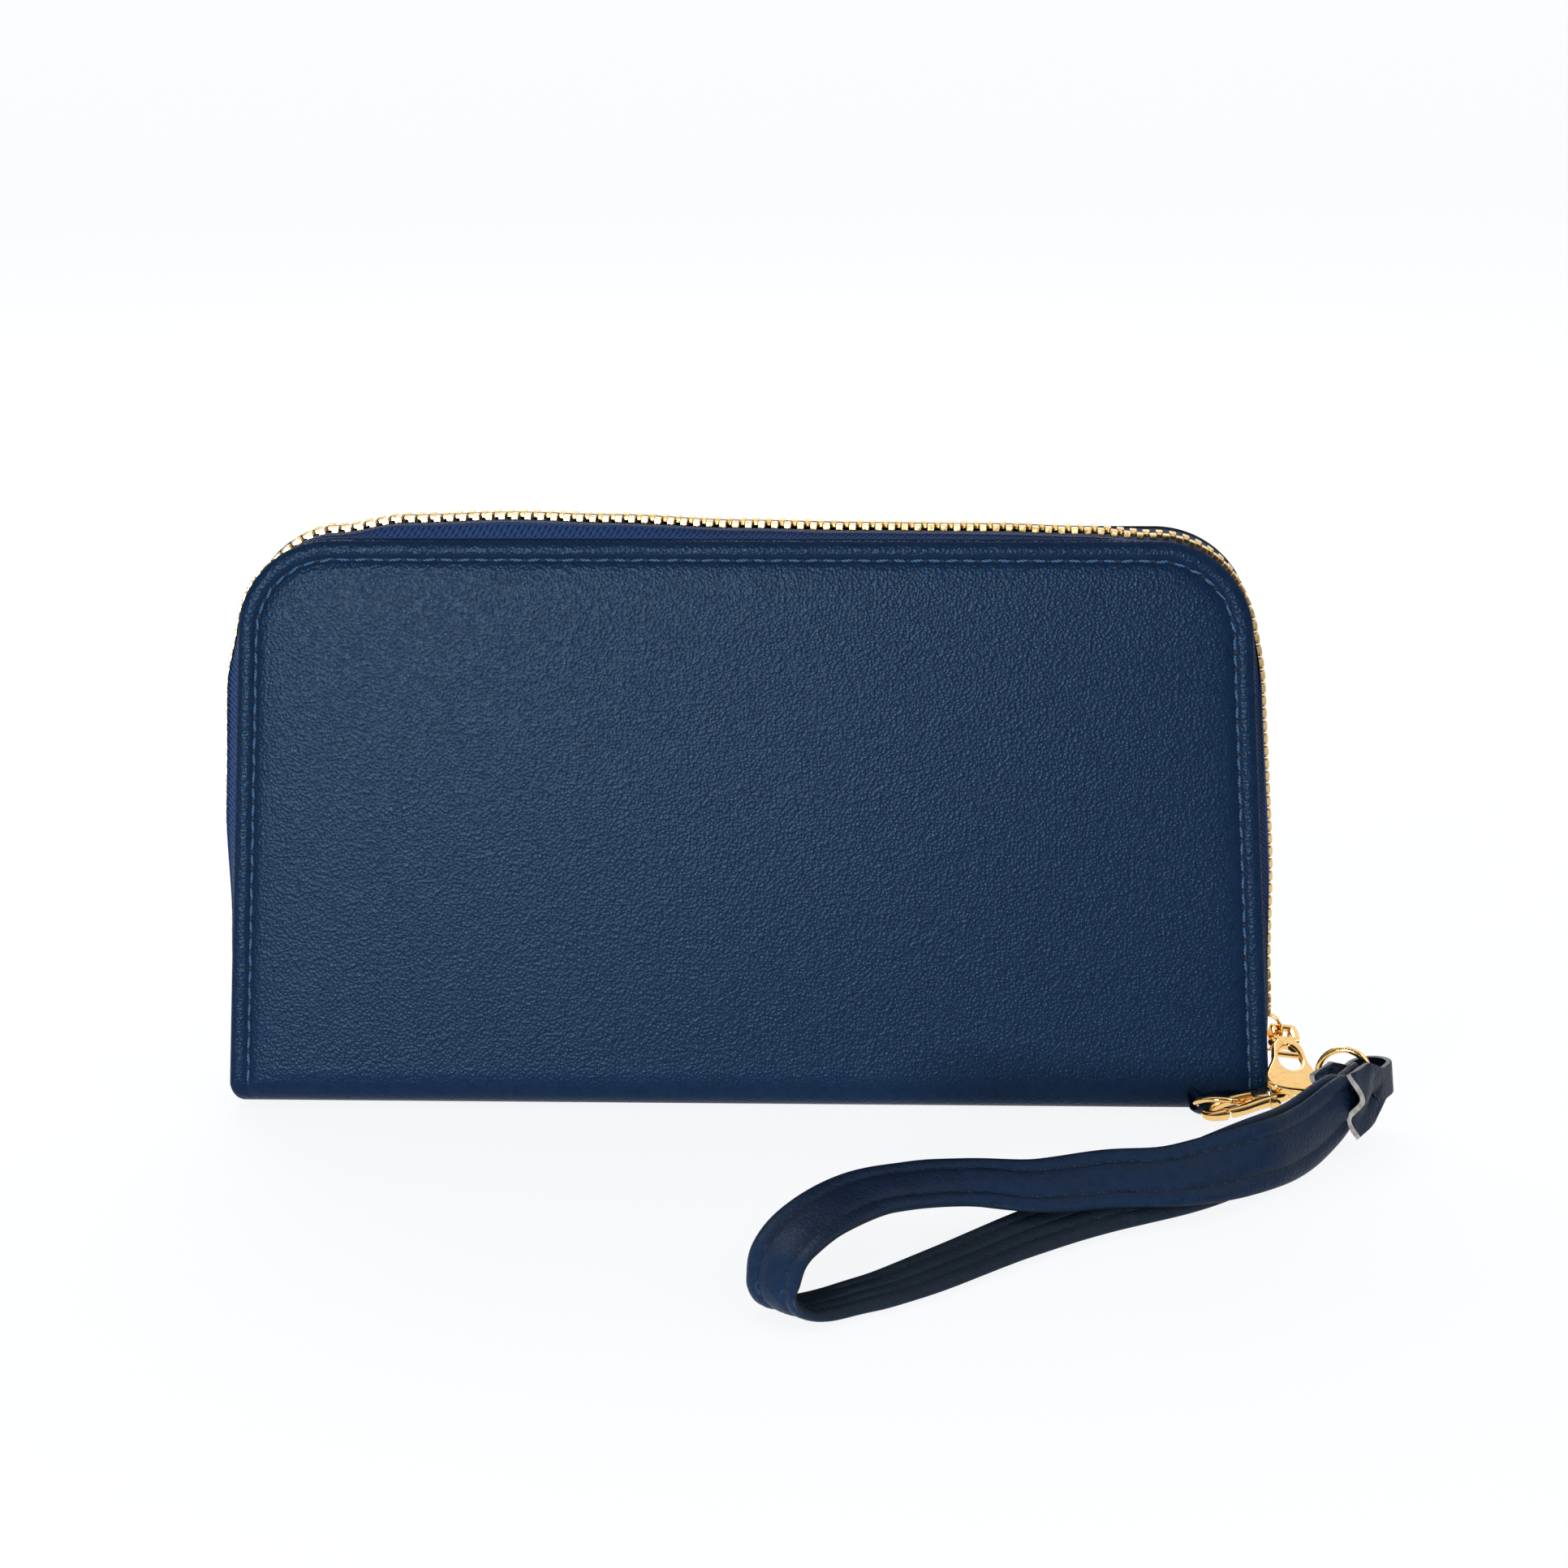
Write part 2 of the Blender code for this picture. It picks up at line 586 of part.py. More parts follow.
def tab(group):
    """Leather tab folded round the eye, its two faces holding the strap's ends."""
    run, normal = strap_frame()
    inner = STRAP_PLY + 2 * GAP + TAB_ROOM
    outer = inner + TAB_LEATHER
    shape = []
    for radius, direction in ((outer, 1), (inner, -1)):
        turns = [math.pi * k / 10 for k in range(11)]
        line = [(TAB_LENGTH, radius)]
        line += [(-radius * math.sin(turn), radius * math.cos(turn)) for turn in turns]
        line += [(TAB_LENGTH, -radius)]
        shape += line[::direction]
    bm = bmesh.new()
    verts = []
    for along, across in shape:
        point = TAB_FOLD + run * along + normal * across
        verts.append(bm.verts.new(point * MM))
    flat = bm.faces.new(verts)
    moved = bmesh.ops.extrude_face_region(bm, geom=[flat])["geom"]
    tops = [v for v in moved if isinstance(v, bmesh.types.BMVert)]
    for vert in bm.verts:
        along = (vert.co / MM - TAB_FOLD).dot(run)
        wide = TAB_HALF_LOW + TAB_FLARE * min(max((along + 1.0) / 8.0, 0.0), 1.0)
        vert.co += TAB_UP * MM * (wide if vert in tops else -wide)
    return add("strap_tab", mesh_from(bm, "strap_tab"), LEATHER_MAT, group)


# The strap's middle line and the direction of its upper edge, from the tab's mouth along the upper run,
# round the far end and back along the floor.
UPPER_RUN = [
    (102.5, -46.5, 6.9, -0.16, 0.10, 0.98), (95.0, -56.5, 6.9, -0.24, 0.19, 0.95),
    (80.1, -68.3, 7.2, -0.38, 0.65, 0.64), (67.0, -72.6, 7.8, -0.30, 0.76, 0.57),
    (55.0, -77.7, 8.2, -0.24, 0.85, 0.47), (43.3, -79.5, 9.3, -0.25, 0.89, 0.38),
    (34.5, -84.5, 10.6, -0.40, 0.84, 0.34), (24.9, -93.5, 11.9, -0.52, 0.80, 0.28),
    (16.8, -107.0, 12.0, -0.66, 0.72, 0.18), (12.4, -116.6, 10.2, -0.69, 0.72, 0.06),
    (11.0, -120.6, 6.8, -0.69, 0.72, 0.0), (11.8, -121.9, 3.4, -0.69, 0.72, 0.0)]
LOWER_RUN = [
    (15.4, -120.7, 1.5, -0.69, 0.72, 0.0), (23.0, -115.0, 1.15, -0.69, 0.73, 0.0),
    (33.0, -107.0, 1.6, -0.68, 0.73, 0.07), (50.0, -88.5, 2.25, -0.68, 0.72, 0.16),
    (64.0, -76.5, 3.4, -0.55, 0.76, 0.34), (79.2, -66.9, 5.2, -0.38, 0.65, 0.64),
    (93.0, -55.0, 6.9, -0.24, 0.19, 0.95), (100.4, -45.3, 6.9, -0.16, 0.10, 0.98)]


def strap_stations():
    """Stations of the strap's middle line with its upper edge's direction."""
    run, normal = strap_frame()
    ply = STRAP_PLY / 2 + GAP / 2
    def held(along, side):
        return TAB_FOLD + run * along + normal * side * ply, TAB_UP
    stations = [held(along, 1) for along in (4.6, 9.0, 14.0, 18.0)]
    stations += [(Vector(row[:3]), Vector(row[3:])) for row in UPPER_RUN + LOWER_RUN]
    stations += [held(along, -1) for along in (18.0, 14.0, 9.0, 4.6)]
    return stations


def strap(group):
    """Wrist strap: one flat leather loop whose two ends lie together in the tab."""
    stations = strap_stations()
    line = smooth_path([place for place, _ in stations], 3)
    edge = smooth_path([up for _, up in stations], 3)
    sections = []
    for i, point in enumerate(line):
        along = (line[min(i + 1, len(line) - 1)] - line[max(i - 1, 0)]).normalized()
        up = (edge[i] - along * edge[i].dot(along)).normalized()
        across = along.cross(up)
        half = up * STRAP_WIDTH / 2
        if i < 5 or i > len(line) - 6:
            half = up * STRAP_HELD_HALF
        skin = across * STRAP_PLY / 2
        sections.append([point + half + skin, point + half - skin, point - half - skin, point - half + skin])
    return loft("strap_loop", sections, LEATHER_MAT, group)


clear_scene()
PARTS = collection("wristlet_wallet")
CUTTERS = collection("cutters")
LEATHER_MAT = finish("navy_leather", NAVY, 0.42)
LINING_MAT = finish("navy_lining", NAVY_DARK, 0.75)
BOARD_MAT = finish("grey_board", GREY_BOARD, 0.85)
TAPE_MAT = finish("zip_tape", TAPE_BLUE, 0.8)
GOLD_MAT = finish("gold_plate", GOLD, 0.18, 1.0)
STEEL_MAT = finish("steel", STEEL, 0.3, 1.0)


def build():
    for side, label in ((-1, "front"), (1, "back")):
        holder = bpy.data.objects.new(label + "_lean", None)
        PARTS.objects.link(holder)
        holder.location = (0, cover_y(side, 0) * MM, 0)
        holder.rotation_euler = (side * math.atan(LEAN), 0, 0)
        cover(side, label, PARTS, holder)
        half = (holder, tape(side, label, PARTS), teeth(side, label, PARTS))
    pivot("back_hinge", HINGE, half, PARTS)
    spine(PARTS)
    pivot("leaf_hinge", LEAF_HINGE, coin_pocket(PARTS), PARTS)
    axis, out, seat, slider_pieces = slider(PARTS)
    travel = pivot("slider_travel", seat, slider_pieces, PARTS)
    top, puller_pieces = puller(PARTS, axis, out, seat)
    pivot("puller_hinge", top, puller_pieces, PARTS, travel)
    held, wire = strap_ring(PARTS)
    ring_hinge = pivot("ring_hinge", held, (wire,), PARTS)
    clasp_pieces, lever, eye = clasp(PARTS)
    clasp_hinge = pivot("clasp_hinge", clasp_point(*CLASP_PIVOT), clasp_pieces, PARTS, ring_hinge)
    pivot("lever_hinge", clasp_point(*LEVER_PIVOT), (lever,), PARTS, clasp_hinge)
    swivel = pivot("swivel", clasp_point(*SWIVEL), (eye,), PARTS, clasp_hinge)
    pivot("tab_hinge", TAB_FOLD, (tab(PARTS), strap(PARTS)), PARTS, swivel)


build()
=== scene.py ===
import math
import bpy
from mathutils import Matrix, Vector


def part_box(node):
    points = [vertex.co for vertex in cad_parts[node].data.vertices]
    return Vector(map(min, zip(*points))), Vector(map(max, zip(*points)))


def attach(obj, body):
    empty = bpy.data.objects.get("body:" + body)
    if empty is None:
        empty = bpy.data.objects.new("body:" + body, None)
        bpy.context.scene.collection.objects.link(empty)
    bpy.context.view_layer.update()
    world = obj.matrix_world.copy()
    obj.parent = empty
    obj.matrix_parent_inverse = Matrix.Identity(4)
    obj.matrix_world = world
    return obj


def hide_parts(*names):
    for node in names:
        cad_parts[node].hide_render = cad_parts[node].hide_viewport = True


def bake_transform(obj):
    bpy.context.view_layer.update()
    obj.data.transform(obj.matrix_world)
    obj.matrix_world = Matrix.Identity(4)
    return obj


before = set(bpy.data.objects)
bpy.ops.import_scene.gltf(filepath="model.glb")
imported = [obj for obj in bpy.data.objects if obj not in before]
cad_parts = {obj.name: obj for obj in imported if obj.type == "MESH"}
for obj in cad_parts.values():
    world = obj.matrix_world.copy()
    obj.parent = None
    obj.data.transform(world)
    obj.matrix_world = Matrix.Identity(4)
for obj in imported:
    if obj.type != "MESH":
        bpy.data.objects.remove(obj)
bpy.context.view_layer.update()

mm = 0.001
print("frame loaded:", len(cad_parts), "nodes")


# camera, floor and light
studio = {
    "lens": 97.9,
    "cameraPlace": (0.04689, -0.77888, 0.25309),
    "cameraAhead": (-0.04971, 0.96953, -0.23987),
    "cameraRight": (0.99875, 0.04936, -0.00748),
    "floorSize": 30.0,
    "floorTone": 0.07,
    "floorGlow": 0.90,
    "floorFrontGlow": 0.15,
    "worldTop": 1.0,
    "worldLow": 0.09,
    "keyPower": 15.0,
    "keyPlace": (-0.22, -0.90, 0.09),
    "keySize": 0.16,
    "sidePower": 2.5,
}


def makeCamera():
    lens = bpy.data.cameras.new("camera")
    lens.lens = studio["lens"]
    lens.sensor_width = 36.0
    camera = bpy.data.objects.new("camera", lens)
    bpy.context.scene.collection.objects.link(camera)
    ahead = Vector(studio["cameraAhead"]).normalized()
    right = Vector(studio["cameraRight"])
    right = (right - ahead * right.dot(ahead)).normalized()
    up = right.cross(ahead)
    place = Matrix((right, up, -ahead)).transposed().to_4x4()
    place.translation = Vector(studio["cameraPlace"])
    camera.matrix_world = place
    bpy.context.scene.camera = camera


def aimedLight(name, place, target, size, power, tone=(1.0, 1.0, 1.0)):
    light = bpy.data.lights.new(name, "AREA")
    light.shape = "RECTANGLE"
    light.size, light.size_y = size
    light.energy = power
    light.color = tone
    lamp = bpy.data.objects.new(name, light)
    bpy.context.scene.collection.objects.link(lamp)
    lamp.location = place
    lamp.rotation_euler = (Vector(target) - Vector(place)).to_track_quat("-Z", "Y").to_euler()


def makeStudio():
    bpy.ops.object.select_all(action="DESELECT")
    bpy.ops.mesh.primitive_plane_add(size=studio["floorSize"], location=(0, 0, -0.0001))
    floor = bpy.context.object
    floor.name = "floor"
    finish = bpy.data.materials.new("floorPaper")
    finish.use_nodes = True
    shader = finish.node_tree.nodes["Principled BSDF"]
    shader.inputs["Base Color"].default_value = (studio["floorTone"],) * 3 + (1.0,)
    shader.inputs["Roughness"].default_value = 0.8
    shader.inputs["Specular IOR Level"].default_value = 0.1
    shader.inputs["Emission Color"].default_value = (0.975, 0.985, 1.0, 1.0)
    cloth = finish.node_tree
    where = cloth.nodes.new("ShaderNodeTexCoord")
    apart = cloth.nodes.new("ShaderNodeSeparateXYZ")
    fade = cloth.nodes.new("ShaderNodeMapRange")
    fade.interpolation_type = "SMOOTHSTEP"
    fade.inputs["From Min"].default_value = -0.50
    fade.inputs["From Max"].default_value = -0.24
    fade.inputs["To Min"].default_value = studio["floorFrontGlow"]
    fade.inputs["To Max"].default_value = studio["floorGlow"]
    cloth.links.new(where.outputs["Object"], apart.inputs[0])
    cloth.links.new(apart.outputs["Y"], fade.inputs["Value"])
    cloth.links.new(fade.outputs["Result"], shader.inputs["Emission Strength"])
    floor.data.materials.append(finish)
    world = bpy.data.worlds.new("studioAir")
    bpy.context.scene.world = world
    world.use_nodes = True
    tree = world.node_tree
    sky = tree.nodes["Background"]
    coord = tree.nodes.new("ShaderNodeTexCoord")
    split = tree.nodes.new("ShaderNodeSeparateXYZ")
    ramp = tree.nodes.new("ShaderNodeValToRGB")
    tree.links.new(coord.outputs["Generated"], split.inputs[0])
    blend = tree.nodes.new("ShaderNodeMath")
    blend.operation = "ADD"
    tree.links.new(split.outputs["Z"], blend.inputs[0])
    tree.links.new(split.outputs["Y"], blend.inputs[1])
    tree.links.new(blend.outputs[0], ramp.inputs[0])
    tree.links.new(ramp.outputs[0], sky.inputs["Color"])
    low, top = studio["worldLow"], studio["worldTop"]
    ramp.color_ramp.elements[0].position = 0.0
    ramp.color_ramp.elements[0].color = (low, low, low * 1.02, 1)
    ramp.color_ramp.elements[1].position = 0.75
    ramp.color_ramp.elements[1].color = (top, top, top * 1.02, 1)
    aimedLight("key", studio["keyPlace"], (-0.04, 0, 0.06), (studio["keySize"],) * 2, studio["keyPower"])
    aimedLight("side", (0.9, -0.5, 0.7), (0.05, 0, 0.04), (0.5, 0.5), studio["sidePower"])
    aimedLight("back", (-0.2, 0.9, 0.8), (0, 0, 0.05), (0.8, 0.4), 8.0)
    bpy.context.scene.view_settings.view_transform = "Standard"


makeCamera()
makeStudio()
print("studio ready")


# finishes
finishes = {
    "navyLeather": {"deep": (0.0026, 0.0086, 0.0240), "bright": (0.0034, 0.0108, 0.0295), "rough": 0.27,
                    "grain": 1700.0, "depth": 0.00010, "shine": 0.065},
    "strapLeather": {"deep": (0.0030, 0.0086, 0.0235), "bright": (0.0042, 0.0112, 0.0300), "rough": 0.40,
                     "grain": 1500.0, "depth": 0.00010, "shine": 0.12},
    "innerLeather": {"deep": (0.0040, 0.0070, 0.0125), "bright": (0.0058, 0.0098, 0.0175), "rough": 0.60,
                     "grain": 1700.0, "depth": 0.00010, "shine": 0.16},
}


def addNode(tree, kind, **values):
    node = tree.nodes.new(kind)
    for name, value in values.items():
        if name in node.inputs:
            node.inputs[name].default_value = value
        else:
            setattr(node, name, value)
    return node


def emptyFinish(name):
    finish = bpy.data.materials.new(name)
    finish.use_nodes = True
    tree = finish.node_tree
    return finish, tree, tree.nodes["Principled BSDF"]


def twoTone(tree, factor, deep, bright, low=0.35, high=0.65):
    ramp = addNode(tree, "ShaderNodeValToRGB")
    ramp.color_ramp.elements[0].position = low
    ramp.color_ramp.elements[0].color = (*deep, 1)
    ramp.color_ramp.elements[1].position = high
    ramp.color_ramp.elements[1].color = (*bright, 1)
    tree.links.new(factor, ramp.inputs[0])
    return ramp.outputs[0]


def spread(tree, factor, low, high, start=0.0, end=1.0):
    change = addNode(tree, "ShaderNodeMapRange")
    for name, value in (("From Min", start), ("From Max", end), ("To Min", low), ("To Max", high)):
        change.inputs[name].default_value = value
    tree.links.new(factor, change.inputs["Value"])
    return change.outputs["Result"]


def bumped(tree, height, distance, below=None, strength=1.0):
    bump = addNode(tree, "ShaderNodeBump", Strength=strength, Distance=distance)
    tree.links.new(height, bump.inputs["Height"])
    if below:
        tree.links.new(below, bump.inputs["Normal"])
    return bump.outputs["Normal"]


def onObject(tree, *textures):
    place = addNode(tree, "ShaderNodeTexCoord").outputs["Object"]
    for texture in textures:
        tree.links.new(place, texture.inputs["Vector"])


# smooth fine-grained leather: small pebbles, a broad mottle and a few glossier grains
def leather(name):
    look = finishes[name]
    finish, tree, shader = emptyFinish(name)
    mottle = addNode(tree, "ShaderNodeTexNoise", Scale=600.0, Detail=4.0, Roughness=0.6)
    pebble = addNode(tree, "ShaderNodeTexVoronoi", Scale=look["grain"], Randomness=1.0)
    fine = addNode(tree, "ShaderNodeTexNoise", Scale=look["grain"] * 1.7, Detail=3.0, Roughness=0.6)
    crease = addNode(tree, "ShaderNodeTexNoise", Scale=look["grain"] * 0.22, Detail=3.0, Roughness=0.6)
    onObject(tree, mottle, pebble, fine, crease)
    tree.links.new(twoTone(tree, mottle.outputs[0], look["deep"], look["bright"]), shader.inputs["Base Color"])
    rough = look["rough"]
    gloss = spread(tree, fine.outputs[0], rough - 0.08, rough + 0.12, 0.3, 0.7)
    tree.links.new(gloss, shader.inputs["Roughness"])
    wave = bumped(tree, crease.outputs[0], look["depth"] * 0.5)
    cells = bumped(tree, pebble.outputs["Distance"], look["depth"], wave, 0.9)
    tree.links.new(bumped(tree, fine.outputs[0], look["depth"] * 0.55, cells), shader.inputs["Normal"])
    shader.inputs["Specular IOR Level"].default_value = look["shine"]
    shader.inputs["Specular Tint"].default_value = (0.50, 0.76, 1.0, 1.0)
    return finish


# painted cut edge of the leather
def edgePaint(name, tone, rough):
    finish, tree, shader = emptyFinish(name)
    fibre = addNode(tree, "ShaderNodeTexNoise", Scale=900.0, Detail=4.0)
    onObject(tree, fibre)
    darker = tuple(part * 0.55 for part in tone)
    tree.links.new(twoTone(tree, fibre.outputs[0], darker, tone), shader.inputs["Base Color"])
    tree.links.new(bumped(tree, fibre.outputs[0], 0.00008), shader.inputs["Normal"])
    shader.inputs["Roughness"].default_value = rough
    return finish


# twill or plain weave: diagonal or crossed ribs read from the piece's own UV map, in millimetres
def woven(name, deep, bright, pitch, slant, rough=0.75):
    finish, tree, shader = emptyFinish(name)
    place = addNode(tree, "ShaderNodeTexCoord").outputs["UV"]
    turn = addNode(tree, "ShaderNodeMapping")
    turn.inputs["Rotation"].default_value = (0, 0, math.radians(slant))
    turn.inputs["Scale"].default_value = (1 / pitch, 1 / pitch, 1.0)
    tree.links.new(place, turn.inputs["Vector"])
    ribs = addNode(tree, "ShaderNodeTexWave", Scale=0.314, Distortion=0.6, bands_direction="X")
    cross = addNode(tree, "ShaderNodeTexWave", Scale=0.22, Distortion=0.4, bands_direction="Y")
    fuzz = addNode(tree, "ShaderNodeTexNoise", Scale=3.0, Detail=4.0)
    for node in (ribs, cross, fuzz):
        tree.links.new(turn.outputs[0], node.inputs["Vector"])
    both = addNode(tree, "ShaderNodeMath", operation="MULTIPLY_ADD")
    both.inputs[1].default_value = 0.35
    tree.links.new(cross.outputs["Fac"], both.inputs[0])
    tree.links.new(ribs.outputs["Fac"], both.inputs[2])
    shade = addNode(tree, "ShaderNodeMath", operation="MULTIPLY_ADD")
    shade.inputs[1].default_value = 0.5
    tree.links.new(fuzz.outputs[0], shade.inputs[0])
    tree.links.new(both.outputs[0], shade.inputs[2])
    tree.links.new(twoTone(tree, shade.outputs[0], deep, bright, 0.35, 1.25), shader.inputs["Base Color"])
    tree.links.new(bumped(tree, both.outputs[0], 0.0002), shader.inputs["Normal"])
    shader.inputs["Roughness"].default_value = rough
    shader.inputs["Sheen Weight"].default_value = 0.04
    shader.inputs["Specular IOR Level"].default_value = 0.12
    return finish


# lining cloth on Object coordinates
def liningCloth(name, deep, bright):
    finish, tree, shader = emptyFinish(name)
    across = addNode(tree, "ShaderNodeTexWave", Scale=700.0, bands_direction="X", Distortion=0.5)
    up = addNode(tree, "ShaderNodeTexWave", Scale=700.0, bands_direction="Z", Distortion=0.5)
    slub = addNode(tree, "ShaderNodeTexNoise", Scale=400.0, Detail=4.0)
    onObject(tree, across, up, slub)
    weave = addNode(tree, "ShaderNodeMath", operation="MULTIPLY")
    tree.links.new(across.outputs["Fac"], weave.inputs[0])
    tree.links.new(up.outputs["Fac"], weave.inputs[1])
    mix = addNode(tree, "ShaderNodeMath", operation="ADD")
    tree.links.new(weave.outputs[0], mix.inputs[0])
    tree.links.new(slub.outputs[0], mix.inputs[1])
    tree.links.new(twoTone(tree, mix.outputs[0], deep, bright, 0.3, 1.2), shader.inputs["Base Color"])
    tree.links.new(bumped(tree, weave.outputs[0], 0.00012), shader.inputs["Normal"])
    shader.inputs["Roughness"].default_value = 0.7
    shader.inputs["Sheen Weight"].default_value = 0.3
    return finish


# polished plate: faint brushing, small handling marks and a touch of tarnish in scattered patches
def polished(name, tone, worn, rough):
    finish, tree, shader = emptyFinish(name)
    marks = addNode(tree, "ShaderNodeTexNoise", Scale=900.0, Detail=5.0, Roughness=0.7)
    wide = addNode(tree, "ShaderNodeTexNoise", Scale=180.0, Detail=2.0)
    onObject(tree, marks, wide)
    tree.links.new(twoTone(tree, marks.outputs[0], worn, tone, 0.25, 0.5), shader.inputs["Base Color"])
    gloss = spread(tree, marks.outputs[0], rough * 0.6, rough * 1.6, 0.3, 0.7)
    tree.links.new(gloss, shader.inputs["Roughness"])
    tree.links.new(bumped(tree, wide.outputs[0], 0.00012, None, 0.5), shader.inputs["Normal"])
    shader.inputs["Metallic"].default_value = 1.0
    return finish


def threadFinish(name, tone, light):
    finish, tree, shader = emptyFinish(name)
    twist = addNode(tree, "ShaderNodeTexWave", Scale=900.0, bands_direction="DIAGONAL", Distortion=1.0)
    onObject(tree, twist)
    tree.links.new(twoTone(tree, twist.outputs["Fac"], tone, light), shader.inputs["Base Color"])
    tree.links.new(bumped(tree, twist.outputs["Fac"], 0.00008), shader.inputs["Normal"])
    shader.inputs["Roughness"].default_value = 0.45
    shader.inputs["Specular IOR Level"].default_value = 0.15
    return finish


navyLeather = leather("navyLeather")
strapLeather = leather("strapLeather")
innerLeather = leather("innerLeather")
darkEdge = edgePaint("darkEdge", (0.007, 0.012, 0.026), 0.45)
rawEdge = edgePaint("rawEdge", (0.20, 0.19, 0.18), 0.8)
tapeCloth = woven("tapeCloth", (0.0020, 0.0070, 0.0260), (0.010, 0.034, 0.110), 0.8, 38.0)
lining = liningCloth("lining", (0.008, 0.014, 0.030), (0.02, 0.034, 0.07))
gold = polished("gold", (0.95, 0.62, 0.24), (0.80, 0.42, 0.12), 0.09)
zipMetal = polished("zipMetal", (0.86, 0.62, 0.28), (0.55, 0.34, 0.12), 0.22)
steel = polished("steel", (0.62, 0.62, 0.64), (0.45, 0.45, 0.46), 0.3)
navyThread = threadFinish("navyThread", (0.009, 0.024, 0.050), (0.032, 0.078, 0.145))
darkThread = threadFinish("darkThread", (0.0015, 0.003, 0.007), (0.005, 0.010, 0.020))
# near-black colour for the needle-hole marks: painted shade standing in for the shade inside each needle hole
needleHoleShade = edgePaint("needleHoleShade", (0.004, 0.006, 0.010), 0.9)
board = edgePaint("board", (0.34, 0.31, 0.27), 0.9)
print("finishes ready")


# modelling helpers
def pickOnly(*objs):
    bpy.ops.object.select_all(action="DESELECT")
    for obj in objs:
        obj.select_set(True)
    bpy.context.view_layer.objects.active = objs[0]


# adds one of Blender's own shapes with nothing else picked
def started(adder, **values):
    bpy.ops.object.select_all(action="DESELECT")
    adder(**values)
    return bpy.context.object


def applyAll(obj):
    pickOnly(obj)
    for change in list(obj.modifiers):
        bpy.ops.object.modifier_apply(modifier=change.name)


def smoothShade(obj, angle=35):
    pickOnly(obj)
    bpy.ops.object.shade_smooth_by_angle(angle=math.radians(angle))
    return obj


# a primitive grid whose corners are put where place(column, row) says, in millimetres
def gridSheet(name, cols, rows, place, scaleUv=None):
    obj = started(bpy.ops.mesh.primitive_grid_add, x_subdivisions=cols, y_subdivisions=rows, size=1)
    obj.name = name
    obj.data.name = name
    for k, vert in enumerate(obj.data.vertices):
        vert.co = Vector(place(k % (cols + 1), k // (cols + 1))) * mm
    if scaleUv:
        for corner in obj.data.uv_layers.active.data:
            corner.uv = (corner.uv[0] * scaleUv[0], corner.uv[1] * scaleUv[1])
    return obj


def closeUp(obj, fill=True):
    pickOnly(obj)
    bpy.ops.object.mode_set(mode="EDIT")
    bpy.ops.mesh.select_all(action="SELECT")
    bpy.ops.mesh.remove_doubles(threshold=1e-6)
    if fill:
        bpy.ops.mesh.fill_holes(sides=0)
    bpy.ops.mesh.select_all(action="SELECT")
    bpy.ops.mesh.normals_make_consistent(inside=False)
    bpy.ops.object.mode_set(mode="OBJECT")
    return obj


# a closed skin through rings of points, one ring at each station
def sweptSkin(name, rings, scaleUv=None, fill=True, toneOf=None):
    around, cells = len(rings[0]), len(rings) - 1
    obj = gridSheet(name, cells, around, lambda i, j: rings[i][j % around], scaleUv)
    if toneOf:
        for n, face in enumerate(obj.data.polygons):
            face.material_index = toneOf(n // cells)
    return closeUp(obj, fill)


def wall(obj, thickness, offset=-1.0, rim=None):
    solid = obj.modifiers.new("wall", "SOLIDIFY")
    solid.thickness = thickness * mm
    solid.offset = offset
    solid.use_even_offset = False
    if rim is not None:
        solid.material_offset_rim = rim
    applyAll(obj)
    return obj


def softer(obj, levels=1):
    sub = obj.modifiers.new("softer", "SUBSURF")
    sub.levels = levels
    sub.render_levels = levels
    applyAll(obj)
    return obj


def rounded(obj, width, segments=2, angle=30):
    edge = obj.modifiers.new("rounded", "BEVEL")
    edge.width = width * mm
    edge.segments = segments
    edge.limit_method = "ANGLE"
    edge.angle_limit = math.radians(angle)
    applyAll(obj)
    return obj


def joinAll(name, *objs):
    pickOnly(*objs)
    bpy.ops.object.join()
    obj = bpy.context.object
    obj.name = name
    return obj


# puts copies of a small model at each place, as one object
def manyOf(name, model, places):
    copies = []
    for place in places:
        mesh = model.data.copy()
        mesh.transform(place)
        copy = bpy.data.objects.new(name, mesh)
        bpy.context.collection.objects.link(copy)
        copies.append(copy)
    bpy.data.objects.remove(model)
    return joinAll(name, *copies)


def settle(obj, finish, body, slot, *nodes):
    if finish:
        obj.data.materials.clear()
        obj.data.materials.append(finish)
    pickOnly(obj)
    bpy.ops.object.transform_apply(location=True, rotation=True, scale=True)
    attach(obj, body)
    if nodes:
        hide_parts(*nodes)
    return obj


def turnTo(along, up, place):
    along = Vector(along).normalized()
    side = Vector(up).cross(along).normalized()
    real = along.cross(side)
    turn = Matrix((along, side, real)).transposed().to_4x4()
    turn.translation = Vector(place) * mm
    return turn


def softPoint(p0, p1, p2, p3, t):
    return 0.5 * (2 * p1 + (p2 - p0) * t + (2 * p0 - 5 * p1 + 4 * p2 - p3) * t * t
                  + (3 * p1 - p0 - 3 * p2 + p3) * t ** 3)


# soft curve through stations, steps points to each stretch
def softLine(stations, steps):
    points = []
    last = len(stations) - 1
    for i in range(last):
        p0, p1 = stations[max(i - 1, 0)], stations[i]
        p2, p3 = stations[i + 1], stations[min(i + 2, last)]
        points += [softPoint(p0, p1, p2, p3, k / steps) for k in range(steps)]
    points.append(stations[-1])
    return points


# value at t of a line through (t, value) pairs, eased between them
def eased(pairs, t):
    if t <= pairs[0][0]:
        return pairs[0][1]
    for (a, low), (b, high) in zip(pairs, pairs[1:]):
        if t <= b:
            part = (t - a) / (b - a)
            part = part * part * (3 - 2 * part)
            return low + (high - low) * part
    return pairs[-1][1]


